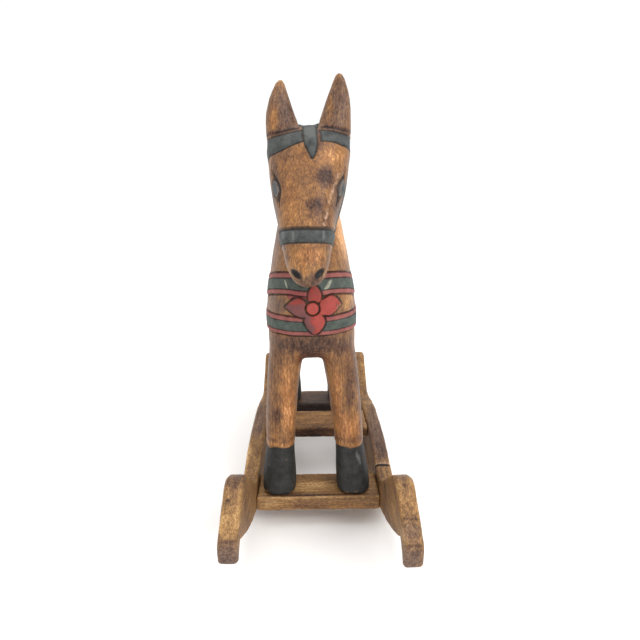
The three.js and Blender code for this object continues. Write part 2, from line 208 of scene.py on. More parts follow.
# %% [markdown]
# ## The block becomes a horse
# The skin starts with squares of about 2 mm. They are far too coarse for a painted line of
# 1 mm, so the chest, the flower and the face are cut finer, and the flanks stay as they are.

# %% The horse's skin
SKIN = 2.1 * MM
horse = skinned_copy("horse", "carved_horse", SKIN)
wood = horse.data
x, y, z = carver_frame(points_of(wood))
thin = np.clip((z - 300) / 10, 0, 1) + np.clip((205 - z) / 5, 0, 1) * (y < -138)
rub_down(wood, 14, outer=0.12, inner=0.55, where=1 - 0.7 * np.clip(thin, 0, 1))
print("horse skin:", len(wood.polygons), "faces")


def fine_areas(points, rank):
    x, y, z = carver_frame(points)
    chest = (np.abs(x) < 40) & (z > 140) & (z < 206) & (y > -114) & (y < -58)
    if rank == 2:
        return chest & (y < -86) & (z > 143) & (z < 202)
    face = (z > 196) & (z < 312) & (y < -84 + (z - 300) * 0.3)
    mane = (np.abs(x) < 12) & (z > 200) & (y > -86)
    tail = (y > 103) & (z > 74) & (z < 212) & (np.abs(x) < 12)
    return chest | face | mane | tail


EAR_LEAN = 1.4  # the tips of both ears stand this far, in mm, towards the horse's left
BROW_SPREAD = 0.035  # gives back the width that the rubbing took off the brow and the ears
bent = points_of(wood)
ear_share = np.clip((carver_frame(bent)[2] - 300) / 42, 0, 1)
brow_share = np.clip((carver_frame(bent)[2] - 282) / 14, 0, 1)
bent[:, 0] += EAR_LEAN * MM * ear_share**2
bent[:, 0] += BROW_SPREAD * carver_frame(bent)[0] * brow_share * MM
set_points(wood, bent)
refine(wood, fine_areas(points_of(wood), 1))
rub_down(wood, 3, outer=0.25, inner=0.35, where=fine_areas(points_of(wood), 1))
refine(wood, fine_areas(points_of(wood), 2))
rub_down(wood, 3, outer=0.25, inner=0.3, where=fine_areas(points_of(wood), 2))
wood.calc_loop_triangles()
print("with the fine areas:", len(wood.loop_triangles), "triangles, to stay under 200,000")

# %% [markdown]
# ## Lines, bands and outlines
# Every carved line is the edge of something: a strap, a petal, an eye. So each of those is kept
# as a distance in millimetres from its edge, plus inside and minus outside. One such number
# carves the groove, and later it also tells the paint where to stop, far more sharply than the
# faces of the mesh could.

# %% Distance to an outline


def smooth_ring(corners, steps=8):
    """A closed Catmull-Rom curve through a few given corners."""
    corners = np.array(corners, float)
    before, after, far = (np.roll(corners, k, 0) for k in (1, -1, -2))
    ring = []
    for t in np.linspace(0, 1, steps, endpoint=False):
        slope, next_slope, step = (after - before) / 2, (far - corners) / 2, after - corners
        bend = 3 * step - 2 * slope - next_slope + t * (slope + next_slope - 2 * step)
        ring.append(corners + t * (slope + t * bend))
    return np.stack(ring, 1).reshape(-1, 2)


def along_line(u, v, start, end):
    """The share of a line at which each point lies nearest to it, and the distance."""
    du, dv = end[0] - start[0], end[1] - start[1]
    share = ((u - start[0]) * du + (v - start[1]) * dv) / max(du * du + dv * dv, 1e-9)
    share = np.clip(share, 0, 1)
    return share, np.hypot(u - start[0] - share * du, v - start[1] - share * dv)


def depth_inside(u, v, ring):
    """Distance from each point to a closed ring, plus inside it and minus outside."""
    nearest = np.full(len(u), 1e9)
    inside = np.zeros(len(u), bool)
    for start, end in zip(ring, np.roll(ring, -1, 0)):
        nearest = np.minimum(nearest, along_line(u, v, start, end)[1])
        (au, av), (bu, bv) = start, end
        crosses = (av > v) != (bv > v)
        inside ^= crosses & (u < au + (v - av) * (bu - au) / ((bv - av) or 1e-9))
    return np.where(inside, nearest, -nearest)


def within(chosen, values, far):
    """The values where the points are chosen, and a far one elsewhere."""
    result = np.full(len(chosen), float(far))
    result[chosen] = values
    return result


OUTSIDE = -30.0  # what a distance field says in mm where its part can't be
square = np.array([(-1, -1), (1, -1), (1, 1), (-1, 1)], float)
depth = depth_inside(np.zeros(1), np.zeros(1), square)[0]
print("the middle of a square 2 mm wide lies", depth, "mm inside it")

# %% [markdown]
# ## The breast strap
# Two painted bands cross the chest, each a green band between two red stripes, with a cut line
# along every change of colour. The photograph shows them only from the front. On the flanks
# they draw together and run back to the saddle cloth, which is edged in the same way, and a
# band goes on round the rump. A flat pattern could be wrapped round the horse. Heights at a few
# bearings are easier to set against the photograph: a bearing of 0 degrees looks straight ahead
# from the middle of the chest, and 90 degrees is the flank.

# %% The bands round the chest and the rump
HALF_BAND = 8.5  # half the width of a band, red stripes included
STRIPE = 4.2  # half the width of the green between them
CHEST_MIDDLE_Y = -60
BEARINGS = [0, 20, 30, 46, 70, 90, 120, 150]
UPPER_TOP = [199.3, 199, 198, 195.6, 190.6, 188.6, 185.5, 184]
UPPER_BOTTOM = [181.3, 182.6, 181.4, 178.3, 172.4, 170.4, 167.5, 166]
LOWER_TOP = [165.6, 166, 166, 164.8, 162.2, 162.5, 168.5, 180]
LOWER_BOTTOM = [148.8, 149.4, 150, 149.2, 147.2, 147.5, 153, 163]
CLOTH = {"front": 10, "back": 87, "foot": 150}  # the edges of the saddle cloth
RUMP_BAND = {"z": 165, "rise": 0.12, "squeeze": 1.3}  # its middle at y 90, slope and narrowing
OFF_STRAP = 40  # what the strap's field says in mm where no strap can be


def from_band(bearing, z, top, bottom):
    """Millimetres from the middle line of a band, at its nominal width."""
    high, low = np.interp(bearing, BEARINGS, top), np.interp(bearing, BEARINGS, bottom)
    return np.abs(2 * z - high - low) / (high - low) * HALF_BAND


def sagging(x, z):
    """The lower band hangs a little lower on the horse's right."""
    return z + 0.035 * np.clip(-x - 6, 0, 26)


def strap_field(x, y, z):
    """Millimetres from the middle line of the nearest band: less than HALF_BAND is on it."""
    bearing = np.degrees(np.arctan2(np.abs(x), CHEST_MIDDLE_Y - y))
    chest = (y > -114) & (y < CLOTH["front"] + 1) & (z > 135) & (z < 210)
    bands = np.minimum(
        from_band(bearing, z, UPPER_TOP, UPPER_BOTTOM),
        from_band(bearing, sagging(x, z), LOWER_TOP, LOWER_BOTTOM),
    )
    bands = np.where(chest, bands, OFF_STRAP)
    edge = np.minimum(y - CLOTH["front"], CLOTH["back"] - y)
    cloth = HALF_BAND - np.minimum(edge, z - CLOTH["foot"])
    cloth = np.where(cloth < HALF_BAND, np.maximum(cloth, 0), cloth)
    above_rump_band = z - RUMP_BAND["z"] - RUMP_BAND["rise"] * (y - 90)
    rump = np.abs(above_rump_band) * RUMP_BAND["squeeze"]
    rump = np.where(y > CLOTH["back"] - 1, rump, OFF_STRAP)
    return np.minimum(np.minimum(bands, cloth), rump)


print("band on the breast:", round(UPPER_TOP[0] - UPPER_BOTTOM[0], 1), "mm wide")

# %% [markdown]
# ## The flower
# A four-petalled flower sits where the bands meet, a round button in its middle. No petal
# is quite like another on the real one, so each has its own outline of a few corners, as
# sideways and upward millimetres on the chest.

# %% The outlines of the flower
BUTTON = {"x": 1.1, "z": 172.8, "radius": 4.8, "ring": 6.0}
PETALS = [
    [(-1.8, 177.5), (-2.3, 182), (-1.4, 186.6), (0.8, 189.4), (2.9, 190.4), (5.4, 188.8),
     (7.3, 185.4), (8, 182), (7, 178.5), (2.5, 175)],
    [(-4.6, 178.2), (-7.4, 180.3), (-10.6, 180.8), (-13.8, 179.2), (-17.2, 176), (-20, 172.9),
     (-17, 170.9), (-13.4, 167.9), (-9.4, 165.8), (-5.2, 165.7), (-1, 170)],
    [(7, 178.2), (10.6, 180.5), (14.4, 182), (17.2, 181.6), (20.2, 179), (23.2, 174.2),
     (21, 172), (18, 169.3), (14.4, 167.2), (10.4, 167.3), (6, 168.8)],
    [(-3.8, 167.5), (-5.3, 164), (-5.5, 161.2), (-3.8, 157), (-1.4, 153.7), (1.5, 151),
     (4.8, 151.9), (7.8, 155), (10, 158.9), (10.6, 162), (9.8, 165.2), (7.2, 168), (2, 170)],
]


def flower_field(x, y, z):
    """Millimetres inside the nearest red part of the flower."""
    near = (y < -88) & (y > -116) & (np.abs(x) < 32) & (z > 144) & (z < 196)
    u, v = x[near], z[near]
    reach = np.hypot(u - BUTTON["x"], v - BUTTON["z"])
    red = np.full(len(u), OUTSIDE)
    for corners in PETALS:
        red = np.maximum(red, depth_inside(u, v, smooth_ring(corners)))
    red = np.minimum(red, reach - BUTTON["ring"])
    return within(near, np.maximum(red, BUTTON["radius"] - reach), OUTSIDE)


print("petals:", len(PETALS), "with", [len(corners) for corners in PETALS], "corners")

# %% [markdown]
# ## The bridle, the forelock, the mane and the tail
# All of these have one paint, a dark grey-green, so they will share one distance field. The
# straps of the bridle are slices across the line of the face. On the real horse the browband
# arches and is no even width, so its rise and its half width are given at ten places across.

# %% The straps of the bridle
FACE_LINE = (0.479, 0.878)  # the way up the line of the face, as y and z
NOSEBAND = {"y": -134.2, "z": 233.6, "half": 5.1, "up": (0.305, 0.952)}
BROWBAND = {"y": -97.7, "z": 296.0, "up": FACE_LINE}
BROW_X = [-30, -24, -19, -13, -5, 9, 15, 19, 24, 30]
BROW_RISE = [-1.6, -2.7, -2, -0.3, 2.2, 2.4, 2.3, 2, 1.2, 2]
BROW_HALF = [6.6, 6.5, 6.2, 5.8, 5.5, 5.2, 5, 4.9, 4.9, 5]
CHEEK_STRAP = {"top": (-76, 289), "bottom": (-113, 222), "half": 3.6}
CREASE = 2.8  # the ears start this far above the browband, in a cut line


def across_strap(y, z, strap):
    """Millimetres above the middle line of a strap, square to it."""
    return (y - strap["y"]) * strap["up"][0] + (z - strap["z"]) * strap["up"][1]


def above_brow(x, y, z):
    """Millimetres above the middle of the browband, which arches over the forehead."""
    return across_strap(y, z, BROWBAND) - np.interp(x, BROW_X, BROW_RISE)


def above_crease(x, y, z):
    """Millimetres above the cut line where the ears rise from the browband."""
    height = above_brow(x, y, z) - np.interp(x, BROW_X, BROW_HALF) - CREASE
    return np.where((z > 292) & (y < -70) & (np.abs(x - 1) > 7.5), height, -OUTSIDE)


def bridle_field(x, y, z):
    """Millimetres inside the nearest strap of the bridle."""
    head = (z > 196) & (y < -52 - (z < 215) * 60)
    nose = NOSEBAND["half"] - np.abs(across_strap(y, z, NOSEBAND))
    nose = np.where(head & (y < -97), nose, OUTSIDE)
    brow = np.interp(x, BROW_X, BROW_HALF) - np.abs(above_brow(x, y, z))
    brow = np.where(head & (y < -60), brow, OUTSIDE)
    _, gap = along_line(y, z, CHEEK_STRAP["top"], CHEEK_STRAP["bottom"])
    cheek = np.where(head & (np.abs(x) > 12), CHEEK_STRAP["half"] - gap, OUTSIDE)
    return nose, brow, cheek


print("browband:", 2 * min(BROW_HALF), "to", 2 * max(BROW_HALF), "mm wide")

# %% [markdown]
# ## The forelock, the mane and the tail
# The mane is a ridge along the crest of the neck, and the forelock is its leaf-shaped end. The
# tail lies against the rump and hangs free. Each is drawn flat, as an outline of a few corners
# seen from the front or from the side, because it was sawn and carved from that side.

# %% The outlines of the hair
FORELOCK = [(-3.6, 306), (-4, 299.6), (-3.3, 295), (-1.8, 291), (0.2, 287.4), (2.4, 283.8),
            (4.9, 287), (6.1, 291.5), (6.3, 296.4), (5.9, 301.6), (5.2, 306)]
FORELOCK_GAP = (0.5, 2.6)  # bare wood between forelock and browband, to its right and left
CREST = [(-88, 306.5), (-80, 307), (-63.5, 303.5), (-49.5, 289.5), (-37.5, 270), (-27, 251),
         (-15, 233.5), (0, 219.5), (13, 212), (22, 206.5)]
CREST_HALF = [6, 6.6, 7.6, 8.4, 9, 9.2, 9, 8, 5.2, 2]
TAIL = [(103, 207), (120, 204), (131, 188), (136, 164), (135, 138), (129, 113), (120, 93),
        (111, 81), (104, 75), (100, 80), (104, 95), (107, 115), (109, 150), (108, 180), (100, 198)]
crest_stations = np.cumsum([0] + [math.dist(*ends) for ends in zip(CREST, CREST[1:])])


def along_crest(y, z):
    """Arc length along the crest of the neck, and the distance from it."""
    best, where = np.full(len(y), 1e9), np.zeros(len(y))
    for start, end, station in zip(CREST, CREST[1:], crest_stations):
        share, gap = along_line(y, z, start, end)
        closer = gap < best
        best = np.where(closer, gap, best)
        where = np.where(closer, station + share * math.dist(start, end), where)
    return where, best


def trim_field(x, y, z):
    """Millimetres inside the nearest part that is painted dark: bridle or hair."""
    nose, brow, cheek = bridle_field(x, y, z)
    lock_zone = (y < -84) & (y > -116) & (np.abs(x) < 14) & (z > 275) & (z < 312)
    lock = depth_inside(x[lock_zone], z[lock_zone], smooth_ring(FORELOCK))
    lock = within(lock_zone, lock, OUTSIDE)
    brow = np.minimum(brow, -lock - np.interp(x, [0, 4], FORELOCK_GAP))
    where, gap = along_crest(y, z)
    half = np.interp(where, crest_stations, CREST_HALF)
    mane = np.minimum(half + 0.7 - np.abs(x), 9 - gap)
    mane = np.where((y > -90) & (z > 203), mane, OUTSIDE)
    tail_zone = (y > 96) & (z > 70) & (z < 212)
    tail = depth_inside(y[tail_zone], z[tail_zone], smooth_ring(TAIL, 4))
    tail = within(tail_zone, np.minimum(tail + 1, 10.8 - np.abs(x[tail_zone])), OUTSIDE)
    return np.max([nose, brow, cheek, lock, mane, tail], axis=0)


print("the crest of the neck is", round(crest_stations[-1]), "mm long")

# %% [markdown]
# ## The eyes
# Each eye is an almond on the corner between the face and the cheek, drawn out below into a
# tear line, with a grey painted oval for the iris. The carver cut the two eyes by eye, and they
# are not alike, so each has its own outline, drawn on the side of the head as y and z. The iris
# keeps a small distance from the lid, where a dark line runs round it.

# %% The outlines of the eyes
LID = 0.9  # dark rim in mm between the iris and the edge of the eye
RIGHT_EYE = {
    "almond": [(-101.2, 275), (-107, 270.3), (-110.6, 267.6), (-113.2, 264.2), (-115, 260.5),
               (-115.9, 256.4), (-116.9, 251.2), (-114.9, 254.6), (-112.4, 256.4),
               (-108, 257.4), (-103.9, 259.6), (-101.4, 264), (-102.6, 267.5), (-104.6, 269.9)],
    "iris": (-108.8, 262.5), "long": 6.4, "short": 4.2,
}
LEFT_EYE = {
    "almond": [(-98.6, 277), (-101.4, 272), (-107.4, 269), (-110.5, 266), (-112.3, 262.7),
               (-112.7, 258.4), (-114, 254.4), (-115.6, 251.2), (-112.9, 254), (-110.4, 256),
               (-106.4, 257), (-102.4, 259.4), (-100.1, 264), (-101.4, 267), (-100.4, 271)],
    "iris": (-107.6, 262.6), "long": 6.1, "short": 4.9,
}


def eye_fields(x, y, z):
    """Millimetres inside the almond of the nearer eye, and inside its iris."""
    almond, iris = np.full(len(x), OUTSIDE), np.full(len(x), OUTSIDE)
    for side, eye in ((-1, RIGHT_EYE), (1, LEFT_EYE)):
        near = (x * side > 13) & (z > 240) & (z < 290) & (y < -80) & (y > -126)
        almond[near] = depth_inside(y[near], z[near], smooth_ring(eye["almond"]))
        along_y, along_z = y[near] - eye["iris"][0], z[near] - eye["iris"][1]
        down = along_y * -FACE_LINE[0] - along_z * FACE_LINE[1]
        across = along_y * FACE_LINE[1] - along_z * FACE_LINE[0]
        iris[near] = (1 - np.hypot(down / eye["long"], across / eye["short"])) * eye["short"]
    return almond, np.minimum(iris, almond - LID)


for eye_name, eye in (("right", RIGHT_EYE), ("left", LEFT_EYE)):
    eye_heights = [corner[1] for corner in eye["almond"]]
    print(eye_name, "eye:", round(max(eye_heights) - min(eye_heights), 1), "mm tall")

# %% [markdown]
# ## Ridges and hollows
# Wear and shade follow the form: hands rub what stands out, and what lies deep is painted darker,
# as shade.
# Each point is pulled towards the middle of its neighbours: inwards on a ridge, and outwards in
# a hollow. Averaging that pull over more rounds finds broader forms.

# %% How far a place stands out
SHARP = 160  # the bend in 1/m that counts as a full ridge


def ridges(mesh, rounds):
    """1 on ridges, -1 in hollows and 0 where the surface is flat."""
    links, points = links_of(mesh), points_of(mesh)
    pull = mean_of_neighbours(points, links) - points
    span = np.linalg.norm(points[links[:, 0]] - points[links[:, 1]], axis=1)
    count = np.bincount(links.ravel(), minlength=len(points))
    square = sum(np.bincount(links[:, k], span**2, len(points)) for k in (0, 1)) / count
    bend = (-(pull * normals_of(mesh)).sum(1) / square)[:, None]
    for _ in range(rounds):
        bend = 0.4 * bend + 0.6 * mean_of_neighbours(bend, links)
    return np.clip(bend[:, 0] / SHARP, -1, 1)


form_ridge = ridges(wood, 6)
print("ridges on", round(100 * (form_ridge > 0.2).mean()), "% of the horse")

# %% [markdown]
# ## Cutting lines
# A cut line is a V-groove: deepest on the line and back to nothing at its half width. Between
# the grooves the bands and petals stay proud and are softly rounded, as a small gouge leaves
# them. Each kind of line was cut with its own tool, so each has its own depth and width.

# %% Grooves, swellings and the nostrils
CUTS = {  # the depth and the half width of each kind of cut in mm
    "edge of a strap": (1.35, 1.0), "between two stripes": (0.75, 0.75),
    "round a petal": (1.3, 0.95), "round bridle and hair": (1.0, 1.1),
    "above the noseband": (1.1, 1.7), "round the eye": (1.2, 1.0),
    "round the iris": (0.4, 0.6), "foot of the ears": (0.8, 1.5), "mouth": (0.8, 0.9),
    "swelling of the fetlock": (0.5, 3), "above the fetlock": (0.5, 2),
}


def cut(kind, distance):
    """How deep a cut is at a distance from its line."""
    deep, half = CUTS[kind]
    return deep * np.clip(1 - np.abs(distance) / half, 0, 1)


def swell(depth, width):
    """Rises from 0 at an edge to 1 at `width` inside it."""
    share = np.clip(depth / width, 0, 1)
    return share * (2 - share)


NOSTRILS = [(-10, 207.8), (6.4, 208.2)]  # x and z of their middles
NOSTRIL_DEEP, NOSTRIL_LONG, NOSTRIL_WIDE = 2.2, 4.3, 2.4


def nostril_shade(x, y, z):
    """1 in the middle of a nostril, an oval that slants down towards the middle, 0 outside."""
    shade = np.zeros(len(x))
    for middle_x, middle_z in NOSTRILS:
        u, v = (x - middle_x) * math.copysign(1, middle_x + 1.5), z - middle_z
        along, across = (u + v * 0.8) / 1.28, (v - u * 0.8) / 1.28
        oval = np.exp(-((along / NOSTRIL_LONG) ** 2) - (across / NOSTRIL_WIDE) ** 2)
        shade = np.maximum(shade, np.where(y < -130, oval, 0))
    return shade


print("deepest kind of cut:", max(CUTS, key=lambda kind: CUTS[kind][0]))

# %% [markdown]
# ## The relief of the painted parts
# One function adds up what every line and swelling does to a point, along the way the surface
# faces. It also hands back the fields, because the paint will need them. Just below the lower
# band the wood is hollowed a little, so that the band stands out as a strap would.

# %% Adding up the relief
BAND_PROUD, PETAL_PROUD, PETAL_DOME = 0.75, 0.75, 0.7  # mm
PETAL_LINE = 0.6  # the cut runs this far outside the red
HOLLOW_DEEP, HOLLOW_FADE = 0.9, 8  # below the lower band, and how soon it fades


def relief(points):
    """How far each point moves out along its normal, in millimetres."""
    x, y, z = carver_frame(points)
    trim = trim_field(x, y, z)
    strap = np.maximum(strap_field(x, y, z), np.clip((trim + 1) * 12, 0, 40))
    flower = flower_field(x, y, z)
    off_flower = np.clip(-flower / 0.8 - 0.3, 0, 1)
    out = BAND_PROUD * swell(HALF_BAND - strap, 2) * (flower < 0)
    out -= cut("edge of a strap", strap - HALF_BAND) * off_flower
    out -= cut("between two stripes", strap - STRIPE) * off_flower
    out += PETAL_DOME * swell(flower, 3.5) + PETAL_PROUD * (flower > 0)
    out -= cut("round a petal", flower + PETAL_LINE)
    bearing = np.degrees(np.arctan2(np.abs(x), CHEST_MIDDLE_Y - y))
    below = np.interp(bearing, BEARINGS, LOWER_BOTTOM) - z
    hollow = HOLLOW_DEEP * np.exp(-np.clip(below, 0, 60) / HOLLOW_FADE)
    out -= np.where((y < -50) & (below > 0.3), hollow, 0)
    out -= cut("round bridle and hair", trim)
    nose_top = across_strap(y, z, NOSEBAND) - NOSEBAND["half"] + 0.6
    out -= np.where((y < -100) & (z > 215), cut("above the noseband", nose_top), 0)
    almond, iris = eye_fields(x, y, z)
    out -= cut("round the eye", almond) - 0.5 * swell(almond, 3)
    out -= cut("round the iris", iris)
    out -= cut("foot of the ears", above_crease(x, y, z))
    out -= NOSTRIL_DEEP * nostril_shade(x, y, z)
    return out, strap, flower, trim, almond, iris


before = points_of(wood)
out, *_ = relief(before)
x, y, z = carver_frame(before)
print("harness, flower and face: cuts down to", round(out.min(), 2), "mm")

# %% [markdown]
# ## Strands, locks and the hollow of the ears
# The mane and the tail are combed with a small V-tool: even cuts, slanting back from the crest
# and wavy down the tail. Only the front of each ear is hollowed, like the bowl of a spoon.

# %% Combing the hair and hollowing the ears
STRAND, LOCK = 5.2, 3.9  # mm from cut to cut in the mane and in the tail
HAIR_DEEP, EAR_DEEP = 1.0, 1.0
where, gap = along_crest(y, z)
trim = trim_field(x, y, z)
on_mane = np.clip(trim - 0.6, 0, 1) * (y > -84) * (y < 60) * (z > 203) * (gap < 9)
strands = np.abs(((where - 1.1 * gap + 1.6 * np.abs(x)) / STRAND) % 1 - 0.5) * 2
out -= on_mane * HAIR_DEEP * np.clip(1 - (1 - strands) * 3.2, 0, 1)
on_tail = np.clip(trim - 0.5, 0, 1) * (y > 100) * (z < 208)
locks = np.abs(((x + 1.4 * np.sin(z / 17)) / LOCK) % 1 - 0.5) * 2
out -= on_tail * HAIR_DEEP * np.clip(1 - (1 - locks) * 2.6, 0, 1)
ear = np.clip((above_brow(x, y, z) - 7) / 6, 0, 1) * (z > 298) * (normals_of(wood)[:, 1] < -0.4)
ear_side = np.where(x < 0, -1, 1)
ear_middle = ear_side * np.interp(z, [303, 318, 340], [18.4, 20.2, 20.6])
ear_half = np.interp(z, [303, 318, 336, 342], [10, 8.2, 3.2, 1])
out -= ear * EAR_DEEP * np.clip(1 - (np.abs(x - ear_middle) / ear_half) ** 2, 0, 1)
print("points on the mane:", int(on_mane.sum()), "on the tail:", int(on_tail.sum()))

# %% [markdown]
# ## The mouth, the fetlocks and the waver of the knife
# The mouth is one cut line. Above each hoof the leg swells a little, below a shallow cut, and
# both waver as everything cut by hand does. A noise with waves of about 10 mm gives that waver
# to the whole surface. A texture could show it too, but only the mesh gives it a true outline.

# %% The last cuts
MOUTH = [(-146.5, 202.6), (-138, 204.6), (-128, 208.5)]  # y and z along the line
FETLOCK, ABOVE_FETLOCK = 48, 52  # mm above the sole
KNIFE_WAVES, KNIFE_DEPTH = 95, 0.22  # waves to a metre, and how far they go in mm
mouth_z = np.interp(y, *np.array(MOUTH).T)
out -= np.where((y < -126) & (np.abs(x + 1.5) > 2), cut("mouth", z - mouth_z), 0)
hand = np.array([noise.noise(Vector(p) * KNIFE_WAVES) for p in before])
out += KNIFE_DEPTH * hand
wavy_z = z + 2 * hand
out += cut("swelling of the fetlock", wavy_z - FETLOCK)
out -= cut("above the fetlock", wavy_z - ABOVE_FETLOCK)
set_points(wood, before + normals_of(wood) * out[:, None] * MM)
rub_down(wood, 1, outer=0.15, inner=0.1)
print("deepest cut:", round(out.min(), 2), "mm")

# %% [markdown]
# ## Marks in the stain, and painted light and shade
# Stain takes unevenly on a hand-carved horse, and years of handling add smudges and bare
# places. Painting them on a picture would fix their size in pixels. Here each is a soft
# ellipsoid in the carver's frame: full strength over a flat middle, then a quick fall to
# nothing, which is how a real smudge ends. Each one says how much lighter and how much redder
# it makes the wood, and minus means darker and greyer. Some are painted light and shade: the
# neck and chest are lighter on the horse's left, where the key light falls, and darker on its
# right, with a painted shadow of the head on the chest. The muzzle and the nose tip get painted
# highlights, and the fronts of the legs get painted highlights with wear. The chin, the belly, the
# outer sides of the legs, the chest below the strap and the gap between the thighs get painted
# shade.

# %% Smudges, bare places, shades of stain, and painted light and shade


def stained_and_painted_light(marks, x, y, z):
    """Adds up marks with a flat middle: how much lighter and how much redder each point is."""
    light, red = np.zeros(len(x)), np.zeros(len(x))
    for middle, radii, lighter, redder in marks:
        gaps = zip((x, y, z), middle, radii)
        mark = np.exp(-sum(((place - at) / radius) ** 2 for place, at, radius in gaps) ** 2)
        light += lighter * mark
        red += redder * mark
    return light, np.clip(red, -1, 1)


MARKS = {  # middle and radii in the carver's frame, how much lighter, how much redder
    "forehead": ((-4, -106, 282), (22, 12, 12), 0.06, 0.1),
    "left brow": ((18, -104, 286), (10, 14, 7), 0.17, 0.2),
    "shade below the browband": ((-18, -104, 287), (8, 9, 5), -0.12, -0.3),
    "smudge below the forelock": ((11, -112, 271), (6, 12, 6.5), -0.36, -0.3),
    "smudge on the nose": ((3, -123, 255), (6, 10, 5), -0.28, -0.15),
    "bridge of the nose": ((-13, -122, 256), (6, 14, 18), 0.02, 0.2),
    "lower nose, left": ((9, -124, 248), (9, 14, 11), -0.22, 0.0),
    "edge of the left cheek": ((19, -117, 256), (3.5, 14, 18), -0.02, -0.6),
    "right cheek": ((-26, -112, 255), (5, 24, 34), -0.14, -0.5),
    "left cheek": ((25, -108, 245), (6, 22, 24), -0.12, -0.6),
    # painted highlight on the muzzle
    "muzzle": ((2, -141, 221), (12, 10, 6), 0.14, 0.4),
    "muzzle, left": ((12, -139, 221), (4, 10, 6), 0.1, -0.4),
    "muzzle, right corner": ((-17, -132, 221), (4, 10, 9), -0.02, -0.2),
    # painted highlight on the nose tip, and painted shade under the chin
    "nose tip": ((-5, -144, 213), (3, 8, 4), 0.16, 0.3),
    "chin": ((0, -146, 203), (13, 10, 5), -0.32, -0.5),
    "right ear": ((-19, -87, 318), (14, 14, 19), -0.08, -0.7),
    "right ear, outer streak": ((-25.5, -89, 312), (3, 10, 9), 0.12, 0.8),
    "right ear, inner half": ((-13, -89, 312), (4, 10, 12), -0.1, 0.1),
    "right ear, tip": ((-20, -83, 338), (5, 10, 3.5), 0.06, 0.3),
    "left ear": ((21, -87, 320), (14, 14, 22), -0.13, -0.7),
    "left ear, streaks": ((15.5, -88, 320), (2.2, 10, 11), 0.1, 0.7),
    "left ear, tip": ((22, -82, 342), (6, 10, 2.5), -0.12, 0.0),
    "beside the forelock": ((8, -99, 297), (2.2, 14, 8), -0.3, -0.2),
    "foot of the ears": ((0, -90, 301), (34, 12, 3), -0.1, -0.2),
    "shine on the right petal": ((17, -108, 178), (5, 12, 2.4), 0.0, -0.5),
    "shine on the left petal": ((-13, -109, 177.5), (6, 12, 1.5), 0.16, -0.5),
    "tip of the right petal": ((21, -106, 175), (3, 12, 4), -0.14, -0.6),
    "foot of the bottom petal": ((-3, -111, 156), (5, 12, 5), -0.2, -0.3),
    "sheen on the forelock": ((1, -96, 301.5), (5, 8, 4.5), 0.6, -0.3),
    "shade of the forelock": ((1.5, -105, 290), (5, 8, 6), -0.2, 0.0),
    # the horse's left side of the neck is painted lighter, where the key light falls
    "neck, left side": ((30, -68, 228), (14, 26, 26), 0.4, 0.2),
    "neck, left side, further back": ((30, -46, 226), (14, 44, 36), 0.14, 0.1),
    # its right side is painted darker and greyer, as shade
    "neck, right side": ((-30, -66, 222), (12, 30, 26), -0.04, -0.5),
    # painted shadow of the head on the horse's right of the chest, painted light on its left
    "chest, right": ((-28, -98, 173), (12, 20, 8), -0.1, -0.7),
    "chest, left": ((32, -96, 174), (10, 20, 8), 0.16, 0.0),
    # painted shade below the strap and between the thighs; the glints are painted highlights
    "below the strap": ((0, -106, 140), (36, 24, 10), -0.3, -0.35),
    "between the thighs": ((0, -100, 125), (13, 20, 11), -0.3, 0.8),
    "right thigh, glint": ((-12.5, -104, 131), (1.8, 14, 7), 0.34, 0.2),
    "left thigh, glint": ((16.5, -104, 132), (1.8, 14, 5), 0.28, 0.1),
    "right thigh": ((-33, -100, 124), (12, 18, 15), -0.2, -0.1),
    "left thigh": ((35, -98, 118), (9, 18, 16), -0.2, 0.1),
    # the outer sides of the legs are painted darker, as shade, and their fronts lighter, as
    # painted highlight with wear
    "right leg, outside": ((-40, -98, 86), (9, 24, 36), -0.1, -0.1),
    "right leg, front": ((-21, -104, 90), (6, 16, 36), 0.24, 0.5),
    "right leg, blotch": ((-31, -104, 75), (4, 14, 8), -0.26, -0.2),
    "left leg, front": ((19, -104, 96), (4.5, 16, 28), 0.1, 0.4),
    "left leg, low": ((28, -104, 64), (12, 18, 12), 0.18, 0.5),
    "left leg, streak": ((30, -104, 97), (4, 16, 14), -0.26, -0.2),
    "left leg, outside": ((41, -98, 86), (4.5, 20, 36), -0.17, -0.1),
    "fetlocks": ((0, -100, 47.5), (60, 30, 2.2), 0.2, 0.2),
    "above the fetlocks": ((0, -100, 52), (60, 30, 1.2), -0.2, 0.1),
    "saddle seat": ((0, 48, 214), (18, 24, 10), 0.15, 0.0),
    "rump": ((0, 112, 190), (24, 18, 14), -0.1, 0.0),
    # painted shade under the belly
    "belly": ((0, 15, 118), (40, 60, 14), -0.3, 0.0),
}
print("marks in the stain of the horse:", len(MARKS))

# %% [markdown]
# ## Slivers, smears and the painted highlight on the edge of the cheek
# Some marks are narrow and crisp: pale slivers on the breast strap, and painted highlights on
# flat strokes of the noseband and a hoof, where they would catch the light. Red paint ran over
# the edge of the strap in three places. Along the edge of the left cheek a line of pale specks
# is a painted highlight.

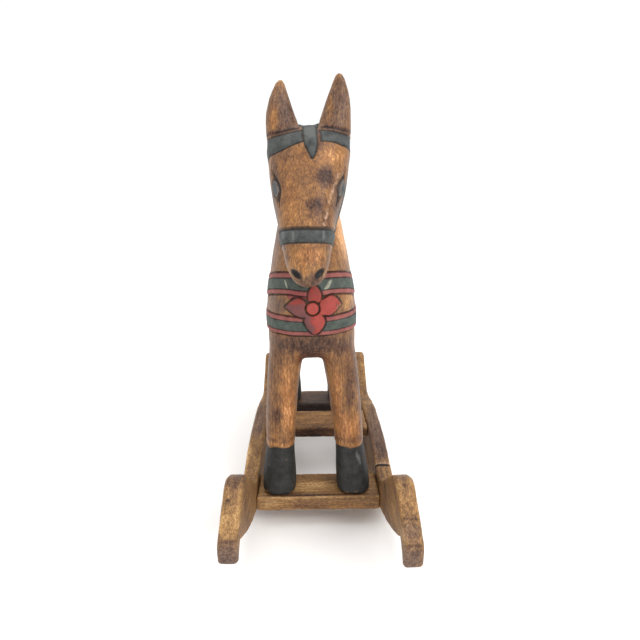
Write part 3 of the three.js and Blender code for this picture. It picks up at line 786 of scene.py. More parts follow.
# %% Pale slivers, smears and painted highlights
PALE_SLIVERS = [  # middle x and z, half width and half height in mm, slant
    (-19, 190, 0.7, 3.6, 0.35), (13.4, 190, 1.9, 3.8, -0.55),
]
FACETS = [  # the same for the painted highlights on strokes of the noseband and a hoof
    (-19, 233.6, 1.6, 3.6, 0), (-11.5, 233.6, 0.9, 3.4, 0), (9.8, 234, 1.1, 3.6, 0),
    (35.4, 37, 0.8, 6, 0.2), (37.8, 33, 0.6, 5, 0.2),
]
SMEARS = [  # as the marks in the stain, for the red paint that ran
    ((-13, -110, 182.6), (7.5, 20, 3.1), 1.0, 0), ((-6.5, -112, 181.4), (3.4, 20, 4.6), 1.0, 0),
    ((12, -110, 165.6), (5, 20, 1.8), 0.9, 0),
]
CHEEK_EDGE = {"z": [236, 241, 251, 261, 271, 276], "x": [10, 10.6, 13.2, 16.3, 20.1, 22]}
CHEEK_EDGE_HALF = 2.2
WANDER_WAVES, WANDER = 140, 2.2  # waves to a metre and mm, for ragged outlines of the marks


def slivers(places, x, y, z):
    """1 on narrow upright marks at the front of the horse, 0 elsewhere."""
    shade = np.zeros(len(x))
    for middle_x, middle_z, wide, tall, slant in places:
        across = x - middle_x + slant * (z - middle_z)
        spot = np.exp(-((across / wide) ** 2) - ((z - middle_z) / tall) ** 4)
        shade = np.maximum(shade, np.where(y < -60, spot, 0))
    return shade


before = points_of(wood)
x, y, z = carver_frame(before)
wander = WANDER * np.array([noise.noise_vector(Vector(p) * WANDER_WAVES) for p in before]).T
rub, warm = stained_and_painted_light(MARKS.values(), x + wander[0], y, z + wander[1])
rub = rub - 0.45 * np.exp(-((above_crease(x, y, z) / 1.3) ** 2))
smear, _ = stained_and_painted_light(SMEARS, x + wander[0], y, z + wander[1])
chips, facets = slivers(PALE_SLIVERS, x, y, z), slivers(FACETS, x, y, z)
from_edge = x - np.interp(z, CHEEK_EDGE["z"], CHEEK_EDGE["x"])
on_cheek_edge = (y < -100) & (z > 238) & (z < 274)
# a painted highlight, in specks, along the edge of the left cheek
worn = np.where(on_cheek_edge, np.exp(-((from_edge / CHEEK_EDGE_HALF) ** 2)), 0)
print("points on the worn edge of the cheek:", int((worn > 0.5).sum()))

# %% [markdown]
# ## The tone of the petals and the seat of the saddle
# The red of the flower isn't even: the petal on the horse's right is dull and mauve, the other
# ones are warm. Part of that is painted shade: the petal on the horse's right and the left half
# of the bottom petal are darker, away from the key light. The tone goes by the bearing round the
# button, so that each petal shades into the next. The seat is the part of the trunk inside the
# saddle's round section. Its size at seven places along the back follows the saddle of the CAD
# model.

# %% Petal tones and the seat
# the darker tones on the horse's right and on the left of the bottom petal are painted shade
PETAL_TONES_AND_SHADE = {  # bearing round the button in degrees, and how warm and light the red is
    -180: 0.34, -140: 0.34, -115: 0.34, -65: 0.7, -40: 0.6, -20: 0.66,
    30: 0.6, 60: 0.5, 75: 0.48, 110: 0.46, 150: 0.42, 180: 0.34,
}
BUTTON_TONE = 0.68
bearing = np.degrees(np.arctan2(z - BUTTON["z"], x - BUTTON["x"]))
reach = np.hypot(x - BUTTON["x"], z - BUTTON["z"])
tone = np.interp(bearing, list(PETAL_TONES_AND_SHADE), list(PETAL_TONES_AND_SHADE.values()))
tone = np.where(reach < 5, BUTTON_TONE, tone)
SADDLE = {
    "y": [14, 24, 36, 50, 64, 73, 81], "half": [9, 20, 24, 26, 26, 23, 10],
    "top": [209, 222, 213, 210.5, 216, 225, 210], "foot": [196, 182, 182, 182, 182, 184, 196],
}
SEAT_DIP = 0.93  # share of the saddle's height above which everything is seat
half, top, foot = (np.interp(y, SADDLE["y"], SADDLE[k]) for k in ("half", "top", "foot"))
rise = np.minimum(np.abs(2 * z - top - foot) / (top - foot), SEAT_DIP)
round_section = (np.abs(x) / half) ** 2.5 + rise**2.5
seat = np.where((y > 16.5) & (y < 80.5) & (z > 190), (1.14 - round_section) * 10, OUTSIDE)
print("points on the seat:", int((seat > 0).sum()))

# %% [markdown]
# ## Keeping the fields on the mesh
# The distance fields are worked out once more on the carved surface. All of them go onto the mesh
# as named numbers, one for each point, and the material reads them by name. Two of them say
# where wear belongs: `ridge`, how far a place stands out, and `height`, which wavers as the
# upper edge of the black hooves does.

# %% The fields on the horse
_, strap, flower, trim, almond, iris = relief(before)
above_nose = across_strap(y, z, NOSEBAND) - NOSEBAND["half"] - 0.2
fields = {
    "strap": strap, "flower": flower, "trim": trim, "almond": almond, "iris": iris,
    "height": z + 1.8 * hand, "ridge": form_ridge, "rub": rub, "warm": warm,
    "chips": chips, "tone": tone, "hole": nostril_shade(x, y, z), "seat": seat,
    "smear": smear, "facets": facets, "worn": worn,
    "nose_top": np.where(y < -100, above_nose, -OUTSIDE),
}
for name, values in fields.items():
    paint_with(wood, name, values)
wood.shade_smooth()
print("fields on", len(x), "points:", ", ".join(fields))

# %% [markdown]
# ## Materials
# Each material is a network of nodes. One helper adds a node, sets its properties and joins or
# sets its sockets, so a line of code reads like a line of a recipe. Colours are written as the
# hex values that a paint chip would have on a screen, and one function turns them into the
# linear light that Blender works with.

# %% Colours and the node helper


def linear(hex_colour):
    channels = [int(hex_colour[k : k + 2], 16) / 255 for k in (1, 3, 5)]
    turned = [c / 12.92 if c <= 0.04045 else ((c + 0.055) / 1.055) ** 2.4 for c in channels]
    return (*turned, 1.0)


def set_stops(band, stops):
    """Gives a colour ramp its (place, colour) stops; a plain number is a shade of grey."""
    for place, _ in stops[1:-1]:
        band.elements.new(place)
    for element, (place, colour) in zip(band.elements, stops):
        shade = linear(colour) if isinstance(colour, str) else (colour, colour, colour, 1)
        element.position, element.color = place, shade


def node(tree, kind, settings=None, sockets=None):
    """Adds a node and returns its first output in use. Sockets go by name or by number."""
    made = tree.nodes.new(kind)
    for key, value in (settings or {}).items():
        if key == "stops":
            set_stops(made.color_ramp, value)
        else:
            setattr(made, key, value)
    live = [s for s in made.inputs if s.enabled]
    for key, value in (sockets or {}).items():
        socket = live[key] if isinstance(key, int) else next(s for s in live if s.name == key)
        if isinstance(value, bpy.types.NodeSocket):
            tree.links.new(value, socket)
        else:
            socket.default_value = linear(value) if isinstance(value, str) else value
    return next((s for s in made.outputs if s.enabled), None)


def new_material(name):
    material = bpy.data.materials.new(name)
    material.use_nodes = True
    material.node_tree.nodes.clear()
    return material, material.node_tree


print("a middle grey, #808080, is", round(linear("#808080")[0], 3), "in linear light")

# %% [markdown]
# ## Stained and waxed wood
# The horse, the rockers and the boards are the same pale hardwood, stained brown and waxed, so
# they share the heart of their material. Its grain is noise stretched along the wood: streaks
# about 2 mm wide and ten times as long. On top come pores, blotches and clouds of stain about
# 2 cm across. Real pores are 0.2 mm wide, too fine for the render, so they are drawn 0.8 mm
# wide. All of it is summed into one number, how light the place is, which a ramp will turn
# into a colour. The Map Range nodes stretch the middle of each noise, because noise seldom
# comes near 0 or 1.

# %% How light the wood is


def wood_lightness(tree, grain_axis, layers, seed=0.0):
    """One number for how light the wood is, and one for its surface height.

    Each layer is a noise: the size of its pattern in mm across and along the grain, how
    strong it is, its detail, and the part of the noise that is stretched out.
    """
    place = node(tree, "ShaderNodeTexCoord").node.outputs["Object"]
    shift = (seed, seed * 0.7, seed * 1.3)
    total, surface = 0.0, None
    for across, along, strength, detail, spread in layers:
        scale = [1 / (across * MM)] * 3
        scale[grain_axis] = 1 / (along * MM)
        vector = node(tree, "ShaderNodeMapping", {}, {
            "Vector": place, "Location": shift, "Scale": scale})
        pattern = node(tree, "ShaderNodeTexNoise", {}, {
            "Vector": vector, "Scale": 1.0, "Detail": detail, "Roughness": 0.62})
        level = node(tree, "ShaderNodeMapRange", {}, {
            "Value": pattern, "From Min": 0.5 - spread, "From Max": 0.5 + spread,
            "To Min": -strength, "To Max": strength})
        total = node(tree, "ShaderNodeMath", {}, {0: level, 1: total})
        surface = surface or total
    return total, surface


CARVED_LAYERS = [  # pores, grain, blotches, clouds of stain
    (0.833, 3.333, 0.13, 1.0, 0.15), (1.786, 20.0, 0.13, 3.0, 0.18),
    (5.263, 10.0, 0.07, 2.0, 0.2), (20.0, 29.41, 0.14, 3.0, 0.25),
]
print("layers of the carved wood:", len(CARVED_LAYERS))

# %% [markdown]
# ## The colour of the wood
# The ramp goes from the dirt in a cut to bare golden wood. Dirt and old wax also grey the wood
# without making it darker, so there is a second, greyed ramp for the same lightness, and
# `warm` below 0 mixes it in. Above 0 it multiplies the colour by a red-brown tint, where the
# stain went on thick.

# %% Stained, greyed and reddened wood
WOOD_COLOURS = [
    (0.0, "#26130B"), (0.2, "#503223"), (0.36, "#64442C"), (0.5, "#765134"),
    (0.64, "#8A6139"), (0.78, "#9E7044"), (0.9, "#B88857"), (1.0, "#D2A06C"),
]
GREYED = [
    (0.0, "#150C09"), (0.25, "#41312A"), (0.5, "#614A3F"), (0.75, "#826852"), (1.0, "#A98F78"),
]
RED_TINT = "#F6D2BE"


def stained_wood(tree, lightness, colours, warm):
    """The colour of wood: red-brown where `warm` is plus, greyed by dirt where it is minus."""
    colour = node(tree, "ShaderNodeValToRGB", {"stops": colours}, {"Fac": lightness})
    greyed = node(tree, "ShaderNodeValToRGB", {"stops": GREYED}, {"Fac": lightness})
    reddened = node(tree, "ShaderNodeMix", {"data_type": "RGBA", "blend_type": "MULTIPLY"}, {
        "Factor": node(tree, "ShaderNodeMapRange", {}, {"Value": warm}),
        "A": colour, "B": RED_TINT})
    share = node(tree, "ShaderNodeMapRange", {}, {"Value": warm, "From Max": -1.0})
    return node(tree, "ShaderNodeMix", {"data_type": "RGBA"}, {
        "Factor": share, "A": reddened, "B": greyed})


print("wood colours from", WOOD_COLOURS[0][1], "to", WOOD_COLOURS[-1][1])

# %% [markdown]
# ## The wood of the horse
# The horse's material starts with the wood that lies under its paint. The fields come in as
# attributes: the marks make a place lighter or darker, with stain, wear and painted light and
# shade, and a ridge is a little lighter, because hands have rubbed it, while a hollow is a
# little darker, as painted shade. BARE is the lightness of a plain place, on the scale of the
# ramp.

# %% Under the paint
painted_wood, tree = new_material("stained_carved_wood_with_matt_paint")
field = {
    name: node(tree, "ShaderNodeAttribute", {"attribute_name": name}).node.outputs["Fac"]
    for name in fields
}
BARE = 0.53
lightness, surface = wood_lightness(tree, 2, CARVED_LAYERS)
# the marks bring stain, wear and painted light and shade; a ridge is lighter, as wear, and a
# hollow darker, as painted shade
for name, strength in (("rub", 1.0), ("ridge", 0.25)):
    lightness = node(tree, "ShaderNodeMath", {"operation": "MULTIPLY_ADD"}, {
        0: field[name], 1: strength, 2: lightness})
lightness = node(tree, "ShaderNodeMath", {"use_clamp": True}, {0: lightness, 1: BARE})
colour = stained_wood(tree, lightness, WOOD_COLOURS, field["warm"])
print("fields in the material:", len(field))

# %% [markdown]
# ## A coat of paint
# The paint is thin artist's paint over the wood, nearly matt and sealed with the same wax.
# Each coat is laid with a mask that comes from a distance field: full inside, nothing outside,
# and ragged by a noise of about 2 mm, as a brush leaves it. A coarser noise of about 7 mm makes
# the paint patchy, and where it meets a rubbed ridge the paint has gone and wood shows again.

# %% Laying a coat
RAGGED_EDGE, PATCH = 2.381, 6.667  # the size of the two noises in mm
place = node(tree, "ShaderNodeTexCoord").node.outputs["Object"]
ragged = node(tree, "ShaderNodeTexNoise", {}, {
    "Vector": place, "Scale": 1 / (RAGGED_EDGE * MM), "Detail": 3.0, "Roughness": 0.6})
patchy = node(tree, "ShaderNodeTexNoise", {}, {
    "Vector": place, "Scale": 1 / (PATCH * MM), "Detail": 5.0, "Roughness": 0.7})
wear = node(tree, "ShaderNodeMath", {"operation": "MULTIPLY_ADD"}, {
    0: field["ridge"], 1: 0.55, 2: patchy})
kept = node(tree, "ShaderNodeValToRGB", {
    "stops": [(0.0, 1.0), (0.72, 1.0), (0.84, 0.12), (1.0, 0.05)]}, {"Fac": wear})


def coat(under, over, field_value, edge, reach=0.35, hold=kept):
    """Lays a colour where a field is above its edge, in millimetres."""
    rough_edge = node(tree, "ShaderNodeMath", {"operation": "MULTIPLY_ADD"}, {
        0: ragged, 1: 1.2, 2: -0.6 - edge})
    depth = node(tree, "ShaderNodeMath", {}, {0: field_value, 1: rough_edge})
    mask = node(tree, "ShaderNodeMapRange", {}, {
        "Value": depth, "From Min": -reach, "From Max": reach})
    if hold is not None:
        mask = node(tree, "ShaderNodeMath", {"operation": "MULTIPLY"}, {0: mask, 1: hold})
    return node(tree, "ShaderNodeMix", {"data_type": "RGBA"}, {
        "Factor": mask, "A": under, "B": over}), mask


uneven_paint = node(tree, "ShaderNodeMath", {"operation": "MULTIPLY_ADD"}, {
    0: field["rub"], 1: 0.6, 2: patchy})


def shades(dark, light):
    """A paint that is a little uneven, between two close colours."""
    return node(tree, "ShaderNodeValToRGB", {"stops": [(0.34, dark), (0.68, light)]}, {
        "Fac": uneven_paint})


left_on_ridge = kept.node.color_ramp.elements[-1].color[0]
print("share of the paint that is left on a sharp ridge:", round(left_on_ridge, 2))

# %% [markdown]
# ## The breast strap and the flower
# The strap was painted red first and green between the stripes. Then came the flower, which
# lies over it. The flower's red runs from a dull mauve-brown to a pale pink, for wear and painted
# shine, and the tone of each petal, with its painted shade, picks its part of that run.

# %% Red, green and the flower
STRIPE_RED, STRAP_GREEN = ("#77413C", "#965851"), ("#343B36", "#515851")
SMEAR_RED = ("#753939", "#944D4A")
PETAL_REDS = [
    (0.1, "#4C302F"), (0.36, "#6C4140"), (0.5, "#87362E"), (0.72, "#9F443C"), (1.0, "#B48482"),
]
red_smear = node(tree, "ShaderNodeMath", {"operation": "MULTIPLY_ADD"}, {
    0: field["smear"], 1: 4.0, 2: -2.0})
minus_strap = node(tree, "ShaderNodeMath", {"operation": "MULTIPLY"}, {
    0: field["strap"], 1: -1.0})
coats = []
colour, mask = coat(colour, shades(*STRIPE_RED), minus_strap, -HALF_BAND)
coats.append(mask)
colour, mask = coat(colour, shades(*STRAP_GREEN), minus_strap, -STRIPE)
petal_tone = node(tree, "ShaderNodeMath", {}, {0: field["tone"], 1: field["rub"]})
petal_tone = node(tree, "ShaderNodeMath", {"operation": "MULTIPLY_ADD"}, {
    0: patchy, 1: 0.5, 2: node(tree, "ShaderNodeMath", {}, {0: petal_tone, 1: -0.25})})
petal_red = node(tree, "ShaderNodeValToRGB", {"stops": PETAL_REDS}, {"Fac": petal_tone})
colour, mask = coat(colour, shades(*SMEAR_RED), red_smear, 0.0)
colour, mask = coat(colour, petal_red, field["flower"], 0.0)
coats.append(mask)
print("masks kept so far:", len(coats))

# %% [markdown]
# ## Bridle, hair, eyes, hooves and saddle
# The bridle and the hair are dark grey-green and keep their paint on ridges too, since no hand
# rubs there much. The almond of an eye is painted dark round its iris, as shade, and its iris is
# grey with a thin brown rim. The hooves are black up to a wavering line, and the seat is saddle
# brown.

# %% The dark paints
BRIDLE_GREY, IRIS_GREY = ("#323534", "#525552"), ("#454748", "#616363")
EYE_SHADE, IRIS_RIM = "#2B1D18", "#776A60"
HOOF_BLACK, SADDLE_BROWN = ("#1D1D1C", "#343432"), ("#402417", "#6B4024")
HOOF_TOP = 45.0  # the black paint ends here, in mm above the sole
colour, mask = coat(colour, shades(*BRIDLE_GREY), field["trim"], 0.0, hold=None)
coats.append(mask)
# painted shade inside the almond of each eye
eye_shadow = node(tree, "ShaderNodeMapRange", {}, {
    "Value": field["almond"], "From Min": -0.5, "From Max": 0.3, "To Max": 0.82})
colour = node(tree, "ShaderNodeMix", {"data_type": "RGBA"}, {
    "Factor": eye_shadow, "A": colour, "B": EYE_SHADE})
colour, mask = coat(colour, IRIS_RIM, field["iris"], 0.0, hold=None)
colour, mask = coat(colour, shades(*IRIS_GREY), field["iris"], 0.45, hold=None)
coats.append(mask)
hoof_depth = node(tree, "ShaderNodeMath", {"operation": "MULTIPLY_ADD"}, {
    0: field["height"], 1: -1.0, 2: HOOF_TOP})
colour, mask = coat(colour, shades(*HOOF_BLACK), hoof_depth, 0.0)
coats.append(mask)
colour, _ = coat(colour, shades(*SADDLE_BROWN), field["seat"], 0.0)
print("coats of paint with a mask kept:", len(coats))

# %% [markdown]
# ## Slivers, painted highlights and specks
# Over the paint come the pale slivers on the strap, the painted highlights on strokes of the
# noseband and a hoof, and the painted highlight along the edge of the cheek. That one is speckled
# because the fine noise is added to the field before the edge of the mask is drawn.

# %% Pale slivers and painted highlights
SLIVER_COLOURS, FACET_HIGHLIGHT, CHEEK_HIGHLIGHT_COLOUR = ("#4E544B", "#B0AF98"), "#77797A", "#BE9C84"
pale = node(tree, "ShaderNodeMapRange", {}, {
    "Value": field["chips"], "From Min": 0.3, "From Max": 0.75, "To Max": 0.9})
colour = node(tree, "ShaderNodeMix", {"data_type": "RGBA"}, {
    "Factor": pale, "A": colour, "B": shades(*SLIVER_COLOURS)})
# painted highlights on strokes of the noseband and a hoof
facet = node(tree, "ShaderNodeMapRange", {}, {
    "Value": field["facets"], "From Min": 0.2, "From Max": 1.0, "To Max": 0.5})
colour = node(tree, "ShaderNodeMix", {"data_type": "RGBA"}, {
    "Factor": facet, "A": colour, "B": FACET_HIGHLIGHT})
# painted highlight in specks along the edge of the left cheek
cheek_highlight_specks = node(tree, "ShaderNodeMath", {"operation": "MULTIPLY_ADD"}, {
    0: ragged, 1: 2.6, 2: node(tree, "ShaderNodeMath", {}, {0: field["worn"], 1: -2.02})})
cheek_highlight_specks = node(tree, "ShaderNodeMapRange", {}, {
    "Value": cheek_highlight_specks, "From Min": 0.0, "From Max": 0.5, "To Max": 0.6})
colour = node(tree, "ShaderNodeMix", {"data_type": "RGBA"}, {
    "Factor": cheek_highlight_specks, "A": colour, "B": CHEEK_HIGHLIGHT_COLOUR})
print("nodes so far:", len(tree.nodes))

# %% [markdown]
# ## The dark lines
# Dark stain ran into every cut line and stayed there. A line is where a field is close to its
# edge, so its distance from the edge, made uneven by the patchy noise, gives how dark it is.
# The lines come last, and the largest of them wins where two meet. Those of the strap stop at
# the flower, which lies over it. The wide line above the noseband is stain in its cut and painted
# shade, and the nostrils are painted near-black, as shade in their holes.

# %% Stain in the cuts, and painted shade above the noseband and in the nostrils
LINE_DARK, NOSTRIL_SHADE_COLOUR = "#231B18", "#120D0B"
lines = [  # distance from the line, and half its width in mm
    (node(tree, "ShaderNodeMath", {"operation": "SUBTRACT"}, {
        0: field["strap"], 1: HALF_BAND}), 0.85),
    (node(tree, "ShaderNodeMath", {"operation": "SUBTRACT"}, {
        0: field["strap"], 1: STRIPE}), 0.55),
    (node(tree, "ShaderNodeMath", {}, {0: field["flower"], 1: PETAL_LINE}), 0.85),
    # the line above the noseband is wider, as painted shade as well as stain
    (field["trim"], 0.75), (field["almond"], 0.9), (field["iris"], 0.3), (field["nose_top"], 1.5),
]
not_flower = node(tree, "ShaderNodeMath", {"operation": "LESS_THAN"}, {
    0: field["flower"], 1: -0.4})
darkness = None
for number, (distance, half) in enumerate(lines):
    size = node(tree, "ShaderNodeMath", {"operation": "ABSOLUTE"}, {0: distance})
    size = node(tree, "ShaderNodeMath", {"operation": "MULTIPLY_ADD"}, {
        0: patchy, 1: 0.9, 2: node(tree, "ShaderNodeMath", {}, {0: size, 1: -0.4})})
    line = node(tree, "ShaderNodeMapRange", {}, {
        "Value": size, "From Min": half * 0.5, "From Max": half * 1.25,
        "To Min": 1.0, "To Max": 0.0})
    if number < 2:
        line = node(tree, "ShaderNodeMath", {"operation": "MULTIPLY"}, {0: line, 1: not_flower})
    darkness = line if darkness is None else node(
        tree, "ShaderNodeMath", {"operation": "MAXIMUM"}, {0: darkness, 1: line})
uneven = node(tree, "ShaderNodeMapRange", {}, {
    "Value": patchy, "From Min": 0.3, "From Max": 0.6, "To Min": 0.98, "To Max": 0.72})
darkness = node(tree, "ShaderNodeMath", {"operation": "MULTIPLY"}, {0: darkness, 1: uneven})
colour = node(tree, "ShaderNodeMix", {"data_type": "RGBA"}, {
    "Factor": darkness, "A": colour, "B": LINE_DARK})
# painted shade in the nostrils
nostril_painted_shade = node(tree, "ShaderNodeMapRange", {}, {
    "Value": field["hole"], "From Min": 0.22, "From Max": 0.5})
colour = node(tree, "ShaderNodeMix", {"data_type": "RGBA"}, {
    "Factor": nostril_painted_shade, "A": colour, "B": NOSTRIL_SHADE_COLOUR})
print("kinds of dark line:", len(lines))

# %% [markdown]
# ## The gloss and the surface of the horse
# Waxed wood is rather smooth and catches soft lights, and the paint is drier. The union of the
# masks of paint steers the roughness between the two. The bump holds only what is finer than
# the mesh: pores, and the sharp bottom of each cut. Wax has an IOR near 1.45 and paint near
# 1.5, so one value between them does for both.

# %% The finish of the horse
WAXED, DRY_PAINT, WAX_IOR = 0.44, 0.62, 1.48
painted = coats[0]
for mask in coats[1:]:
    painted = node(tree, "ShaderNodeMath", {"operation": "MAXIMUM"}, {0: painted, 1: mask})
roughness = node(tree, "ShaderNodeMapRange", {}, {
    "Value": painted, "To Min": WAXED, "To Max": DRY_PAINT})
cut_height = node(tree, "ShaderNodeMath", {"operation": "MULTIPLY_ADD"}, {
    0: darkness, 1: -1.2, 2: surface})
bump = node(tree, "ShaderNodeBump", {}, {
    "Strength": 0.35, "Distance": 0.0005, "Height": cut_height})
gloss = node(tree, "ShaderNodeBsdfPrincipled", {}, {
    "Base Color": colour, "Roughness": roughness, "Normal": bump, "IOR": WAX_IOR,
    "Specular IOR Level": 0.3})
node(tree, "ShaderNodeOutputMaterial", {}, {"Surface": gloss})
wood.materials.append(painted_wood)
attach(horse, "root")
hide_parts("horse")
print(painted_wood.name, "has", len(tree.nodes), "nodes")

# %% [markdown]
# ## The rockers and the boards
# These were sawn from board and only broken at the edges, then stained, and many shelves have
# rubbed them since. A bevel would leave their edges straight. The same even skin as on the
# horse lets them go soft and a little wavy. The marks are soft ellipsoids again, in mm from the
# middle of the floor: dark saw lines, smudges, worn corners, and knots of about 1.5 mm. The
# front face of the cross board and the top and front of the rear board, under the horse, are
# painted darker, as shade.

# %% What the stand is made of
STAND = {  # name of the piece, size of its skin in mm, axis of its grain, material slot
    "right_rocker": ("carved_right_rocker", 1.2, 1, "rocker_wood"),
    "left_rocker": ("carved_left_rocker", 1.2, 1, "rocker_wood"),
    "front_foot_board": ("sawn_front_board", 1.1, 0, "board_wood"),
    "cross_board": ("sawn_cross_board", 1.1, 0, "board_wood"),
    "rear_foot_board": ("sawn_rear_board", 1.1, 0, "board_wood"),
}
STAND_MARKS = {
    "right_rocker": [
        ((-65, -176, 73), (14, 9, 6), 0.16, 0.0), ((-64, -142, 86), (14, 14, 4), -0.16, -0.3),
        ((-66, -194, 56), (14, 9, 13), -0.12, -1.0), ((-65, -189, 67), (14, 1.5, 1.5), -0.2, 0.0),
        ((-66.3, -162.8, 80.5), (1.4, 2, 2), -0.5, 0.0),
        ((-56.4, -120, 45), (2, 34, 30), -0.1, 0.0),
        ((-65.5, -36, 44), (3.5, 16, 4), 0.3, -0.1), ((-59, 16, 49), (8, 32, 4), -0.1, -0.7),
    ],
    "left_rocker": [
        ((62, -165, 78), (12, 14, 7), 0.06, 0.1), ((60, -194, 52), (14, 8, 11), -0.08, -1.0),
        ((60, -183, 67.5), (14, 8, 6), 0.06, -0.6), ((60, -138, 85), (14, 12, 4), -0.06, -0.2),
        ((61.9, -152.4, 85.3), (1.6, 1.6, 1.6), -0.24, 0.0),
        ((61.1, -158.8, 82.1), (1.4, 1.4, 1.4), -0.2, 0.0),
        ((62.9, -164.5, 78.4), (1.3, 1.3, 1.3), -0.3, 0.2),
        ((60, -174.9, 72.4), (14, 1, 1), -0.3, 0.0), ((60, -190.8, 62.4), (14, 1, 1), -0.3, 0.1),
        ((57, -54, 39), (14, 1.2, 9), -0.9, 0.0), ((57, -51.5, 41), (14, 1.3, 4), 0.3, -0.6),
        ((60, -10, 46), (12, 50, 9), -0.14, -0.8), ((54.6, -112, 40), (2, 26, 26), 0.0, -0.4),
    ],
    "front_foot_board": [
        ((-4, -72, 30), (40, 9, 3), 0.26, 0.0), ((0, -84, 30.5), (60, 2, 2), -0.28, -0.2),
        ((-6, -86.6, 29.2), (50, 1, 1), 0.24, -0.2), ((0, -87, 20), (60, 2, 4), -0.06, 0.2),
        ((-44, -87, 24), (9, 3, 6), 0.1, -0.2), ((20, -87, 24), (12, 3, 5), -0.12, 0.1),
    ],
    # the second mark is painted shade on the front face of the cross board
    "cross_board": [((0, 22, 49), (60, 14, 3), 0.02, 0.2), ((0, 0, 42), (60, 3, 8), -0.42, 0.3)],
    # painted shade on the top and the front face of the rear board, under the horse
    "rear_foot_board": [
        ((0, 107, 30), (60, 16, 3), -0.34, -0.7), ((0, 88, 22), (60, 6, 14), -0.7, -0.3),
    ],
}
print("marks on the stand:", sum(len(marks) for marks in STAND_MARKS.values()))

# %% [markdown]
# ## Shaping the rockers and the boards
# Each piece gets its skin, is rubbed down a little, and then wavers as sawn wood does, in long
# waves of about 20 mm. Where an edge meets a high place of a finer noise, a small nick goes in.
# The pieces keep clear of the floor, on which the rockers stand.

# %% Skins for the stand
SAW_WAVES, SAW_WAVER = 45, 0.25  # waves to a metre, and how far they go in mm
NICK_WAVES, NICK_DEPTH = 210, 1.1
NICK_SHIFT = Vector((7, 3, 1))  # takes the nicks from another part of the noise
stand = {}
for node_name, (piece_name, skin, grain_axis, slot_name) in STAND.items():
    piece = skinned_copy(node_name, piece_name, skin * MM)
    rub_down(piece.data, 2, outer=0.15, inner=0.3)
    points, normals = points_of(piece.data), normals_of(piece.data)
    waver = np.array([noise.noise(Vector(p) * SAW_WAVES) for p in points])
    nicks = np.array([noise.noise(Vector(p) * NICK_WAVES + NICK_SHIFT) for p in points])
    edge = np.clip(ridges(piece.data, 1), 0, 1)
    out = SAW_WAVER * waver - NICK_DEPTH * edge * np.clip(nicks - 0.1, 0, 1)
    carved = points + normals * out[:, None] * MM
    carved[:, 2] = np.maximum(carved[:, 2], 0)  # nothing goes through the floor
    set_points(piece.data, carved)
    places = points.T / MM
    places[2] += 1.5 * waver
    rub, warm = stained_and_painted_light(STAND_MARKS[node_name], *places)
    for name, values in (("rub", rub), ("warm", warm), ("ridge", ridges(piece.data, 2))):
        paint_with(piece.data, name, values)
    piece.data.shade_smooth()
    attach(piece, "root")
    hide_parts(node_name)
    stand[node_name] = piece
    print(piece_name, len(piece.data.polygons), "faces")

# %% [markdown]
# ## Sawn and stained boards
# The stand's wood is the horse's wood without paint: a little greyer and drier, because less
# wax was spent on it. Broad clouds of dark stain lie on it, its edges are rubbed golden, and its
# hollows are painted a little darker, as shade.
# The pieces came from different boards, so each has its own lightness and its own stretch of
# the noise, and their grain runs along each one.

# %% The material of the stand
STAND_COLOURS = [
    (0.0, "#1D110C"), (0.2, "#422D22"), (0.36, "#5D422D"), (0.5, "#725335"),
    (0.64, "#88653F"), (0.78, "#9D7749"), (0.9, "#AF8A5B"), (1.0, "#C8A06A"),
]
SAWN_LAYERS = [
    (0.833, 2.5, 0.13, 1.0, 0.15), (2.381, 29.41, 0.16, 4.0, 0.18),
    (7.692, 20.0, 0.08, 2.0, 0.2), (22.22, 41.67, 0.12, 3.0, 0.25),
]


def sawn_wood(name, grain_axis, bare, seed):
    """Sawn, stained wood that is as light as `bare` says on a plain place."""
    material, tree = new_material(name)
    lightness, surface = wood_lightness(tree, grain_axis, SAWN_LAYERS, seed)
    value = {
        key: node(tree, "ShaderNodeAttribute", {"attribute_name": key}).node.outputs["Fac"]
        for key in ("rub", "ridge", "warm")
    }
    # a ridge is lighter, as wear, and a hollow darker, as painted shade
    for key, strength in (("rub", 1.0), ("ridge", 0.14)):
        lightness = node(tree, "ShaderNodeMath", {"operation": "MULTIPLY_ADD"}, {
            0: value[key], 1: strength, 2: lightness})
    lightness = node(tree, "ShaderNodeMath", {"use_clamp": True}, {0: lightness, 1: bare})
    colour = stained_wood(tree, lightness, STAND_COLOURS, value["warm"])
    roughness = node(tree, "ShaderNodeMapRange", {}, {
        "Value": surface, "From Min": -0.3, "From Max": 0.3, "To Min": 0.62, "To Max": 0.5})
    bump = node(tree, "ShaderNodeBump", {}, {
        "Strength": 0.4, "Distance": 0.0006, "Height": surface})
    gloss = node(tree, "ShaderNodeBsdfPrincipled", {}, {
        "Base Color": colour, "Roughness": roughness, "Normal": bump, "IOR": WAX_IOR,
        "Specular IOR Level": 0.3})
    node(tree, "ShaderNodeOutputMaterial", {}, {"Surface": gloss})
    return material


BARE_STAND = {
    "right_rocker": 0.59, "left_rocker": 0.56, "front_foot_board": 0.58,
    "cross_board": 0.6, "rear_foot_board": 0.62,
}
for number, (node_name, piece) in enumerate(stand.items()):
    grain_axis, bare = STAND[node_name][2], BARE_STAND[node_name]
    material_name, seed = f"stained_sawn_wood_{node_name}", 3.1 * number + 1
    piece.data.materials.append(sawn_wood(material_name, grain_axis, bare, seed))
    print(material_name, "is", bare, "light where it is plain")

# %% [markdown]
# ## The floor
# The horse was photographed on white. A plain pale floor, a hair's breadth below the rockers,
# takes only a soft shadow and reflects a little light onto the boards from below.

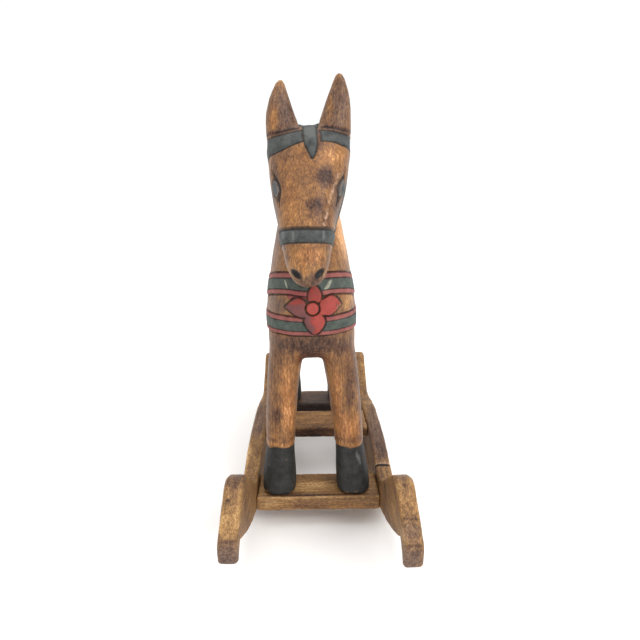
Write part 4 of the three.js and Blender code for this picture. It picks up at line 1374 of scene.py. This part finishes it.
# %% A plain pale floor
floor_mesh = bpy.data.meshes.new("pale_floor")
shell = bmesh.new()
bmesh.ops.create_grid(shell, x_segments=2, y_segments=2, size=6)
shell.to_mesh(floor_mesh)
shell.free()
floor = bpy.data.objects.new("pale_floor", floor_mesh)
floor.location.z = -0.0002
bpy.context.collection.objects.link(floor)
pale, tree = new_material("plain_pale_floor")
matt = node(tree, "ShaderNodeBsdfPrincipled", {}, {"Base Color": "#FCFCFB", "Roughness": 0.9})
node(tree, "ShaderNodeOutputMaterial", {}, {"Surface": matt})
floor_mesh.materials.append(pale)
print("floor:", tuple(round(side) for side in floor.dimensions[:2]), "metres")

# %% [markdown]
# ## Soft studio light
# A white room lights the horse from all around. One large soft light stands to the viewer's
# right and above, as the bright left side of the horse's neck asks for, and one shines from
# above. Both are wide, so no shadow has a hard edge. The plain "Standard" view shows colours
# as they were written down, which a filmic one would not.

# %% Lights and the white room
LIGHTS = [  # name, place in metres, width in metres, watts
    ("key_from_the_right", (1.1, -1.5, 1.6), 1.1, 21),
    ("light_from_above", (0.0, 0.2, 2.2), 1.6, 17),
]
aim = Vector((0, 0, 0.17))
for name, place, width, watts in LIGHTS:
    light = bpy.data.lights.new(name, "AREA")
    light.shape, light.size, light.energy = "SQUARE", width, watts
    lamp = bpy.data.objects.new(name, light)
    lamp.location = place
    lamp.rotation_euler = (aim - Vector(place)).to_track_quat("-Z", "Y").to_euler()
    bpy.context.collection.objects.link(lamp)
world = bpy.data.worlds.new("white_room")
world.use_nodes = True
world.node_tree.nodes["Background"].inputs["Color"].default_value = (1, 1, 1, 1)
world.node_tree.nodes["Background"].inputs["Strength"].default_value = 1.05
bpy.context.scene.world = world
bpy.context.scene.view_settings.view_transform = "Standard"
bpy.context.scene.view_settings.look = "None"
print("lights:", [name for name, *_ in LIGHTS])

# %% [markdown]
# ## The camera
# The camera was fitted to the corners of the stand in the photograph. It stands about half a
# metre in front of the horse and looks down on it, so the nearer toes look large. Its place
# and its three angles are typed in, and the lens follows from the focal length in pixels.

# %% The camera of the photograph
CAMERA_PLACE = Vector((-5.35, -530.04, 343.68)) * MM
PITCH, YAW, ROLL = 0.33, 0.016, -0.005  # radians: down, to the right, tilted
FOCAL_PIXELS, PHOTO_PIXELS, SENSOR = 600.6, 640, 36.0
flat_ahead = Vector((math.sin(YAW), math.cos(YAW), 0))
ahead = flat_ahead * math.cos(PITCH) - Vector((0, 0, math.sin(PITCH)))
level = Vector((math.cos(YAW), -math.sin(YAW), 0))
upward = level.cross(ahead)
right = level * math.cos(ROLL) + upward * math.sin(ROLL)
up = upward * math.cos(ROLL) - level * math.sin(ROLL)
camera_data = bpy.data.cameras.new("camera")
camera_data.sensor_width = SENSOR
camera_data.lens = FOCAL_PIXELS / PHOTO_PIXELS * SENSOR
camera = bpy.data.objects.new("camera", camera_data)
turn = Matrix((right, up, -ahead)).transposed().to_4x4()
camera.matrix_world = Matrix.Translation(CAMERA_PLACE) @ turn
bpy.context.collection.objects.link(camera)
bpy.context.scene.camera = camera
print("lens:", round(camera_data.lens, 1), "mm")
